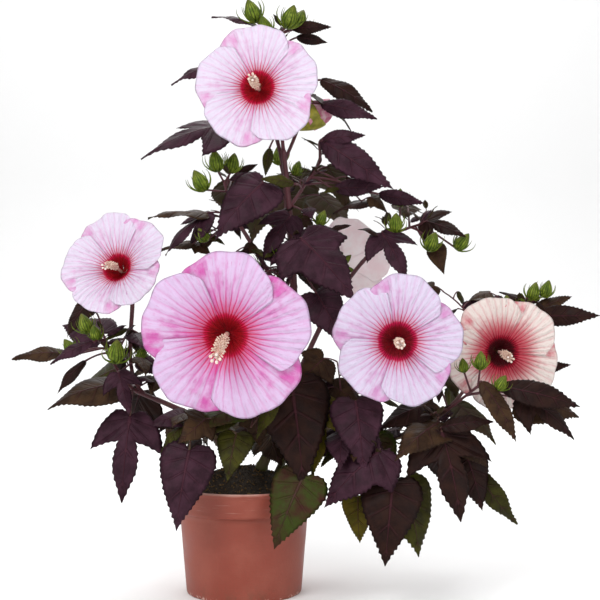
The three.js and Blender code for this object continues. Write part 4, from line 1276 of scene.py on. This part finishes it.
def stand(name, shape, spots, finish):
    """Copies of a shape, one for each (place, facing direction, size, spin) of spots."""
    mesh = bpy.data.meshes.new(name)
    places, facings, sizes, spins = zip(*spots)
    mesh.from_pydata([tuple(place) for place in places], [], [])
    turns = []
    for facing, spin in zip(facings, spins):
        upright = Vector(facing).to_track_quat("Z", "Y")
        turns.extend((upright @ Euler((0, 0, spin)).to_quaternion()).to_euler())
    mesh.attributes.new("turn", "FLOAT_VECTOR", "POINT").data.foreach_set("vector", turns)
    mesh.attributes.new("size", "FLOAT", "POINT").data.foreach_set("value", sizes)
    made = placed(name, mesh)
    run_tree(made, stood_on_points, {"Shape": shape, "Finish": finish})
    bpy.data.objects.remove(shape)
    made.data.polygons.foreach_set("use_smooth", [True] * len(made.data.polygons))
    return made


def sepal_finish():
    material, shader, place = new_finish("green sepal", 0.5, Specular_IOR_Level=0.15)
    across, down, _ = parted(laid_out(place))
    mottle = cloud(place, 160, 4)
    tipped = ramp(down, 0.55, 1.0) * ramp(mottle, 0.3, 0.6)
    set_sockets(shader, {
        "Base Color": painted(
            SEPAL_GREEN,
            (ramp(mottle, 0.35, 0.7), SEPAL_PALE),
            (ramp(off_stripe(across, BUD_RIBS), 0.26, 0.1, 0, 0.75), SEPAL_SEAM),
            (tipped * 0.45, SEPAL_BLUSH),
        ),
        "Normal": embossed((cloud(place, 900, 2), 0.0003, 0.7)),
    })
    return material


def bud_shape():
    """A closed bud about one unit in radius, its five sepals meeting in grooves."""
    bundle = Bundle()
    heights = np.linspace(0, 1, 13)
    path = [(0, 0, BUD_HEIGHT * height) for height in heights]
    swell = np.sin(np.pi * heights**0.72) ** 0.75 * (1 - 0.25 * heights) + 0.06
    turn = even_turns(2 * BUD_RIBS)
    ribs = 1 + 0.09 * np.abs(np.cos(2.5 * turn)) + 0.035 * np.cos(BUD_RIBS * turn)
    bundle.add_tube(path, [radius * ribs * 0.93 for radius in swell], 2 * BUD_RIBS)
    return bundle.lay("bud", [])


def whorl_shape(bracts=9):
    """Thin bracts that spring from under a bud and curl up and out round it."""
    bundle = Bundle()
    for bract in range(bracts):
        turn = math.tau * bract / bracts
        reach = 1 + 0.25 * math.sin(2.4 * bract)
        steps = np.linspace(0, 1, 7)
        out = 0.25 + 1.3 * reach * np.sin(steps * 2.0) ** 0.9
        rise = -0.1 + 2.3 * steps**1.2
        path = np.stack([out * math.cos(turn), out * math.sin(turn), rise], axis=1)
        bundle.add_tube(path, 0.13 * (1.15 - steps), 5)
    return bundle.lay("bracts", [])


sepal = sepal_finish()
bud_spots = [(*bud, 0.4 * index) for index, bud in enumerate(buds_set)]
whorl_spots = [(*bud, 0.7 * index) for index, bud in enumerate(buds_set)]
flower_buds = stand("flower_buds", bud_shape(), bud_spots, sepal)
bud_bracts = stand("bud_bracts", whorl_shape(), whorl_spots, sepal)
for piece in (flower_buds, bud_bracts):
    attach(piece, "root")

# ---- the blooms --------------------------------------------------------------------------------
# Saucer-sized flowers that last a day or two: five broad overlapping petals, thin and ribbed like
# silk, veined from a crimson eye; a column with a brush of cream anthers and five round stigmas;
# and behind them a green calyx in its whorl of bracts.

# Each bloom: the limb it is on and where, its eye, the way it faces, its radius, how deep its cup
# is, its turn in degrees, its colour, and how far its column leans sideways and up.
BLOOMS = {
    "top": dict(
        on="main_stem", at=0.86, eye=(21, -62, 636), faces=(-0.14, -0.97, 0.14), radius=78, cup=0.3,
        twist=6, petal="pale", column=(0.0, 0.02),
    ),
    "left": dict(
        on="low_left_stem", at=0.92, eye=(-147, -80, 412), faces=(-0.28, -0.86, 0.4), radius=67, cup=0.5,
        twist=20, petal="pale", column=(-0.03, -0.12),
    ),
    "front": dict(
        on="front_bough", at=1, eye=(-14, -150, 339), faces=(-0.1, -0.98, -0.14), radius=101, cup=0.3,
        twist=-1, petal="pink", column=(-0.03, -0.12),
    ),
    "right": dict(
        on="right_bough", at=1, eye=(188, -120, 329), faces=(0.02, -1, 0.02), radius=79, cup=0.3,
        twist=-8, petal="lilac", column=(0, -0.02),
    ),
    "far_right": dict(
        on="low_right_stem", at=1, eye=(323, -32, 310), faces=(0.16, -0.97, -0.04), radius=73, cup=0.4,
        twist=30, petal="cream", column=(0, -0.04),
    ),
    "back": dict(
        on="upper_right_bough", at=0.55, eye=(130, 82, 420), faces=(0.45, 0.82, 0.3), radius=60, cup=0.4,
        twist=12, petal="pale", column=(0, -0.1),
    ),
    "rear_left": dict(
        on="back_left_stem", at=1, eye=(-44, 165, 345), faces=(-0.3, 0.9, 0.25), radius=74, cup=0.35,
        twist=-20, petal="pale", column=(0, -0.1),
    ),
    "rear_right": dict(
        on="back_right_stem", at=1, eye=(208, 180, 306), faces=(0.3, 0.92, 0.15), radius=74, cup=0.35,
        twist=25, petal="pink", column=(0, -0.1),
    ),
}
PETALS = 5
PETAL_ROWS = 34
PETAL_COLUMNS = 41
PETAL_THICKNESS = 0.6
PETAL_FOOT_ANGLE = 36.6
PETAL_OPENING = 13.4
SEPAL_THICKNESS = 0.8
CALYX_DEPTH = 0.3
BLOOM_STALK_RADIUS = 2.2
ANTHERS = 150
STIGMAS = 5
VEINS_OF_PETAL = 13
BLOOM_SEED = 500

# For each petal colour: ground, flush, veins, eye, the flush round the eye, the eye's size, and
# the flush along one side of each petal.
PETAL_COLOURS = {
    "pale": (
        (0.72, 0.64, 0.78, 1), (0.66, 0.27, 0.53, 1), (0.62, 0.004, 0.06, 1), (0.30, 0, 0.005, 1),
        0.2, 1.05, 0.08,
    ),
    "lilac": (
        (0.66, 0.58, 0.74, 1), (0.58, 0.22, 0.48, 1), (0.58, 0.003, 0.07, 1), (0.17, 0, 0.005, 1),
        0.25, 1.15, 0.1,
    ),
    "pink": (
        (0.66, 0.49, 0.71, 1), (0.58, 0.09, 0.37, 1), (0.62, 0.004, 0.06, 1), (0.30, 0, 0.005, 1),
        0.5, 1, 0.15,
    ),
    "cream": (
        (0.76, 0.67, 0.63, 1), (0.56, 0.09, 0.13, 1), (0.44, 0.005, 0.03, 1), (0.06, 0, 0.003, 1),
        0.85, 1.15, 0,
    ),
}
PETAL_BACK = (0.84, 0.74, 0.76, 1)
PETAL_BACK_FLUSH = (0.78, 0.58, 0.62, 1)
# The petal backs give off a faint glow in their own colour: painted light, standing in for light that shines
# through the thin petals.
PETAL_BACK_PAINTED_GLOW = 0.2
COLUMN_CREAM = (0.74, 0.52, 0.40, 1)
COLUMN_ROSE = (0.55, 0.16, 0.20, 1)
ANTHER_CREAM = (0.82, 0.66, 0.54, 1)
STIGMA_WHITE = (0.86, 0.78, 0.72, 1)
SPENT_CALYX = (0.36, 0.33, 0.03, 1)
SPENT_GREEN = (0.20, 0.20, 0.02, 1)
SPENT_PINK = (0.62, 0.13, 0.26, 1)


def petal_finish(name, pale, pink, vein_colour, eye_colour, glow, eye_size, side):
    material, shader, place = new_finish("petal " + name, 0.55, Specular_IOR_Level=0.15)
    layout = laid_out(place)
    across, out, _ = parted(layout)
    cells = cloud(stretched(layout, (5, 1.6, 1)), 2.4, 4, 0.6)
    threads = cloud(stretched(layout, (40, 3.2, 1)), 2.2, 4, 0.6)
    mottle = cloud(place, 95, 5, 0.66)
    off_vein = off_stripe(across + (cells - 0.5) * 0.045, VEINS_OF_PETAL)
    vein = ramp(off_vein, 0.22, 0.02)
    flushed = across + (mottle - 0.5) * 0.4 + (cells - 0.5) * 1.3
    inward = out + (threads - 0.5) * 0.5
    edge = (out - vein * 0.085 + (threads - 0.5) * 0.16) / eye_size
    line_colour = [0.3 * flush + 0.7 * deep for flush, deep in zip(pink, vein_colour)]
    set_sockets(shader, {
        "Base Color": painted(
            pale,
            (ramp(flushed, 0.52 - side, 1.25 - side, 0, 1), pink),
            (ramp(inward, 0.78, 0.3, 0, glow), pink),
            # The pink along the veins out to the rim is partly the petal's own veining and partly painted
            # shade for the shading of its ribs.
            (vein * ramp(out, 0.9, 0.2, 0.22, 0.85), pink),
            (vein * ramp(out, 0.6, 0.26) * 0.85, line_colour),
            # The pink thread streaks are partly the petal's own streaking and partly painted shade for the
            # shading of its ribs.
            (ramp(threads, 0.54, 0.68, 0, 0.34), pink),
            (ramp(edge, 0.34 + 0.3 * glow, 0.26, 0, 0.32 + 0.4 * glow), vein_colour),
            (ramp(edge, 0.275, 0.24), vein_colour),
            (ramp(edge, 0.245, 0.17), eye_colour),
        ),
        "Normal": embossed(
            (off_vein, 0.0034, 0.7), (cells, 0.003, 0.7), (mottle, 0.0022, 0.6), (threads, 0.0009, 0.7)
        ),
    })
    return material


def soft_finish(name, base, other, scale, roughness=0.5, glow=0.0):
    material, shader, place = new_finish(name, roughness, Emission_Color=base, Emission_Strength=glow)
    mottle = cloud(place, scale, 4)
    set_sockets(shader, {
        "Base Color": painted(base, (ramp(mottle, 0.35, 0.7), other)),
        "Normal": embossed((mottle, 0.0004, 0.6)),
    })
    return material


def bloom_axes(faces):
    """The way a bloom faces, and the two directions across it."""
    axis = unit(np.array(faces, float))
    across = unit(np.cross((0, 0, 1), axis))
    return axis, across, np.cross(axis, across)


def crown_forward(share, cup, radius):
    """How far forward the petals stand at a share of the radius: a funnel that opens out flat."""
    return radius * cup * np.sqrt(np.maximum(0, share - 0.1)) - 0.05 * radius


def round_eye(eye, axes, reach, angle, forward):
    """Places so far out from a bloom's eye, so far round it and so far in front of it."""
    axis, across, upward = axes
    return (
        eye
        + across * (reach * np.cos(angle))[..., None]
        + upward * (reach * np.sin(angle))[..., None]
        + axis * forward[..., None]
    )


def petal_grid(bloom, number, eye, axes, chance):
    """One broad petal, ribbed from its foot, with a ruffled rim, lapped over its neighbour."""
    radius = bloom["radius"] * MM
    out = np.linspace(0.015, 1, PETAL_ROWS)[:, None]
    side = np.linspace(-1, 1, PETAL_COLUMNS)[None]
    opened = np.clip((out - 0.035) / 0.42, 0, 1)
    opened = opened * opened * (3 - 2 * opened)
    half = math.radians(PETAL_FOOT_ANGLE) + math.radians(PETAL_OPENING) * opened
    middle = math.radians(90 + bloom["twist"] + 360 / PETALS * number + 6 * (chance.random() - 0.5))
    angle = middle + side * half
    first, second, third = chance.random(3) * 6.28
    rim = (0.97 + 0.05 * chance.random()) * (1 - 0.27 * np.abs(side) ** 2.6)
    rim = rim + out**3 * (0.018 * np.sin(5.2 * side + first) + 0.012 * np.sin(13 * side + second))
    reach = radius * out * (1 + (rim - 1) * out**1.5)
    lapped = -0.024 * side * (0.4 + 0.6 * out)
    ribs = 0.007 * (np.abs(np.sin(10 * side + first)) - 0.6) * np.sin(math.pi * np.clip(out, 0, 1)) ** 0.7
    ruffle = out**4 * (0.028 * np.sin(4.6 * side + second) + 0.017 * np.sin(11 * side + third))
    ruffle = ruffle + 0.008 * out**8 * np.sin(27 * side + first)
    belly = 0.03 * np.sin(math.pi * out) * np.cos(side * math.pi / 2)
    rolled = -0.05 * out**6
    forward = crown_forward(out, bloom["cup"], radius) + radius * (lapped + ribs + ruffle + belly + rolled)
    return round_eye(eye, axes, reach, angle, forward)


def sepal_grid(bloom, number, eye, axes):
    """One sepal: from the foot of the calyx forward under the petals, to a point."""
    radius = bloom["radius"] * MM
    run = np.linspace(0, 1, 12)[:, None]
    side = np.linspace(-1, 1, 9)[None]
    middle = math.radians(54 + bloom["twist"] + 360 / PETALS * number)
    half = math.radians(36) * np.clip(1.02 - run**2.2, 0.03, 1)
    angle = middle + side * half
    reach = radius * (0.06 + 0.15 * run**0.6 + 0.12 * run**3)
    forward = radius * (-CALYX_DEPTH + 0.29 * run**0.9) - 0.0012
    return round_eye(eye, axes, reach, angle, forward)


def bloom_stalk(bloom, eye, axis):
    """The stalk's path from its limb to the calyx, and its radii, thicker at the joint."""
    root = seat_on(bloom["on"], bloom["at"])
    foot = eye - axis * CALYX_DEPTH * bloom["radius"] * MM
    run = np.linalg.norm(foot - root)
    leave = root + LIMB_RUNS[bloom["on"]].along(bloom["at"]) * 0.35 * run
    arrive = foot - axis * 0.35 * run
    steps = np.linspace(0, 1, 26)[:, None]
    path = swept(steps, root, leave, arrive, foot)
    joint = np.exp(-(((steps[:, 0] - 0.8) / 0.02) ** 2))
    return path, (BLOOM_STALK_RADIUS + 0.8 * steps[:, 0] + 0.5 * joint) * MM


def column_path(bloom, eye, axis):
    """The course of the column: straight out of the eye, then leaning sideways and down."""
    radius = bloom["radius"] * MM
    lean = bloom["column"]
    tip = eye + axis * 0.55 * radius + np.array([lean[0], 0, lean[1]]) * radius
    return bent(np.linspace(0, 1, 18)[:, None], eye - axis * 0.002, eye + axis * 0.35 * radius, tip)


petals = {name: petal_finish(name, *tones) for name, tones in PETAL_COLOURS.items()}
# The glow of the petal backs is painted light for light shining through the petals.
petal_back = soft_finish("petal back", PETAL_BACK, PETAL_BACK_FLUSH, 45, 0.5, PETAL_BACK_PAINTED_GLOW)
column_skin = soft_finish("stamen column", COLUMN_CREAM, COLUMN_ROSE, 300)
anther_spots, stigma_spots, bract_spots = [], [], []
for number, (name, bloom) in enumerate(BLOOMS.items()):
    chance = np.random.default_rng(BLOOM_SEED + number)
    axes = bloom_axes(bloom["faces"])
    axis, across, upward = axes
    eye = np.array(bloom["eye"], float) * MM
    radius = bloom["radius"] * MM
    flower = Bundle()
    for petal in range(PETALS):
        flower.add_sheet(petal_grid(bloom, petal, eye, axes, chance), PETAL_THICKNESS * MM, 0, 4)
        flower.add_sheet(sepal_grid(bloom, petal, eye, axes), SEPAL_THICKNESS * MM, 1)
    stalk_path, stalk_radii = bloom_stalk(bloom, eye, axis)
    flower.add_tube(stalk_path, stalk_radii, 12, 2)
    foot = stalk_path[-1]
    flower.add_tube([foot - axis * 0.002, foot, foot + axis * 0.004], [0.003, 0.0055, 0.006], 14, 1)
    column = column_path(bloom, eye, axis)
    flower.add_tube(column, np.linspace(0.03, 0.017, len(column)) * radius, 12, 3)
    made = flower.lay(name + "_flower", [petals[bloom["petal"]], sepal, bark, column_skin, petal_back])
    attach(made, "root")
    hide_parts("bloom_" + name)
    for anther in range(ANTHERS):
        share = 0.36 + 0.6 * (anther + 0.5) / ANTHERS
        place = column[int(share * (len(column) - 1))]
        turn = anther * math.radians(GOLDEN_TURN)
        out = across * math.cos(turn) + upward * math.sin(turn) + axis * (0.25 + 0.3 * chance.random())
        anther_spots.append((place, out, radius * (0.05 + 0.02 * chance.random()), 0))
    ahead = unit(column[-1] - column[-3])
    for stigma in range(STIGMAS):
        turn = math.tau * stigma / STIGMAS
        out = ahead * 1.5 + across * math.cos(turn) + upward * math.sin(turn)
        stigma_spots.append((column[-1], out, radius * 0.085, 0))
    bract_spots.append((foot - axis * 0.001, axis, 0.1 * radius, 0))


def headed_stalk(name, stalk_radius, head_radius, head_length):
    """A thread one unit long with a small rounded head, for a stamen or a stigma."""
    bundle = Bundle()
    heights = [0, 0.9, 0.95, 1.0, 1.08, 1.16, 1.24]
    swell = [0, 0, 0.55, 0.9, 1, 0.8, 0.3]
    radii = [stalk_radius + (head_radius - stalk_radius) * share for share in swell]
    tops = [(0, 0, height if height < 0.95 else 0.95 + (height - 0.95) * head_length) for height in heights]
    bundle.add_tube(tops, radii, 8)
    return bundle.lay(name, [])


anther_skin = soft_finish("anther pollen", ANTHER_CREAM, COLUMN_CREAM, 500, 0.8)
stigma_skin = soft_finish("stigma", STIGMA_WHITE, COLUMN_CREAM, 400, 0.6)
anthers = stand("anthers", headed_stalk("anther", 0.04, 0.13, 1.1), anther_spots, anther_skin)
stigmas = stand("stigmas", headed_stalk("stigma", 0.08, 0.24, 1.5), stigma_spots, stigma_skin)
calyx_bracts = stand("calyx_bracts", whorl_shape(10), bract_spots, sepal)
for piece in (anthers, stigmas, calyx_bracts):
    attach(piece, "root")

# ---- the spent bloom ---------------------------------------------------------------------------
# The day after, the five petals roll up together like an umbrella. They stay seated in their
# calyx, which swells and yellows on its stalk near the top of the main stem.

SPENT_SEAT = 0.97
SPENT_CUP = (72, 8, 600)
SPENT_FOOT = (68, 8, 598)
SPENT_END = (114, 2, 624)
SPENT_NECK = 6
CALYX_SWELL = 13
CALYX_END = 0.62
ROLL_SWELL = 13
ROLL_START = 0.3
SPENT_SIDES = 40


def make_spent_bloom():
    """The stalk, the ribbed calyx, and the petals rolled in a spiral out of it."""
    bundle = Bundle()
    root = seat_on("main_stem", SPENT_SEAT)
    cup, foot, end = (np.array(place, float) * MM for place in (SPENT_CUP, SPENT_FOOT, SPENT_END))
    sagging = (root + cup) / 2 - MM * UP
    bundle.add_tube([root, sagging, cup], [BLOOM_STALK_RADIUS * MM] * 3, 10, 2)
    turn = even_turns(SPENT_SIDES)
    steps = np.linspace(0, CALYX_END, 14)
    calyx = [foot + (end - foot) * step for step in steps]
    radii = [
        (SPENT_NECK + CALYX_SWELL * math.sin(math.pi * (0.08 + 0.84 * step))) * MM
        * (0.86 + 0.2 * np.abs(np.cos(2.5 * turn)) * (0.4 + step))
        for step in steps
    ]
    bundle.add_tube(calyx, radii, SPENT_SIDES, 0)
    steps = np.linspace(ROLL_START, 1, 18)
    rolled = [foot + (end - foot) * step for step in steps]
    radii = [
        (SPENT_NECK - 1 + ROLL_SWELL * math.sin(math.pi * (0.12 + 0.8 * step))) * MM
        * (0.93 + 0.1 * np.cos(5 * (turn + 2.6 * step)))
        for step in steps
    ]
    bundle.add_tube(rolled, radii, SPENT_SIDES, 1)
    calyx_skin = soft_finish("yellowing calyx", SPENT_CALYX, SPENT_GREEN, 130)
    rolled_skin = soft_finish("rolled petals", SPENT_PINK, PETAL_BACK_FLUSH, 110)
    return bundle.lay("spent_bloom", [calyx_skin, rolled_skin, bark])


spent_bloom = make_spent_bloom()
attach(spent_bloom, "root")
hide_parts("bloom_spent")

# ---- the studio --------------------------------------------------------------------------------
# A pale sweep of paper lies under the plant and runs up behind it in one curve. Three broad soft
# lights stand round it, one lights the paper behind, and the room fills in the shadows.

SWEEP_COLOUR = (0.93, 0.93, 0.93, 1)
SWEEP_HALF_WIDTH = 8.0
SWEEP_FRONT = -4.0
SWEEP_BACK = 4.8
SWEEP_RISE = 5.0
SWEEP_BEND = 0.8
ROOM_LIGHT = 0.42

# Each light: where it stands, what it points at, how wide it is in metres, and its watts.
LIGHTS = {
    "key": ((-1.3, -2.2, 2.2), (0.05, 0, 0.4), 1.6, 62),
    "fill": ((1.9, -1.9, 1.2), (0.05, 0, 0.4), 1.8, 22),
    "backdrop": ((0, 3.0, 4.4), (0, 4.8, 1.2), 3.2, 110),
    "behind": ((0.3, 1.5, 2.4), (0.05, 0.2, 0.4), 1.6, 30),
}
CAMERA_PLACE = (0.072, -1.8, 0.434)
CAMERA_PITCH = 88.1
CAMERA_LENS = 84.36


def make_sweep():
    profile = [(SWEEP_FRONT, 0.0), (SWEEP_BACK - SWEEP_BEND, 0.0)]
    for step in range(1, 13):
        turn = math.pi / 2 * step / 12
        back = SWEEP_BACK - SWEEP_BEND + SWEEP_BEND * math.sin(turn)
        profile.append((back, SWEEP_BEND - SWEEP_BEND * math.cos(turn)))
    profile.append((SWEEP_BACK, SWEEP_RISE))
    points = [(x, y, z) for y, z in profile for x in (-SWEEP_HALF_WIDTH, SWEEP_HALF_WIDTH)]
    faces = [(2 * row, 2 * row + 1, 2 * row + 3, 2 * row + 2) for row in range(len(profile) - 1)]
    paper = new_finish("white paper", 0.9, Base_Color=SWEEP_COLOUR)[0]
    return lay_mesh("paper_sweep", points, faces, [paper])


def add_light(name, place, towards, size, power):
    light = bpy.data.lights.new(name, "AREA")
    light.size = size
    light.energy = power
    made = placed(name, light)
    made.location = place
    made.rotation_euler = (Vector(towards) - Vector(place)).to_track_quat("-Z", "Y").to_euler()


make_sweep()
world = bpy.data.worlds.new("studio")
world.use_nodes = True
set_sockets(world.node_tree.nodes["Background"], {"Color": (1, 1, 1, 1), "Strength": ROOM_LIGHT})
bpy.context.scene.world = world
bpy.context.scene.view_settings.view_transform = "Standard"
for name, light in LIGHTS.items():
    add_light(name, *light)

lens = bpy.data.cameras.new("camera")
lens.lens = CAMERA_LENS
camera = placed("camera", lens)
camera.location = CAMERA_PLACE
camera.rotation_euler = (math.radians(CAMERA_PITCH), 0, 0)
bpy.context.scene.camera = camera
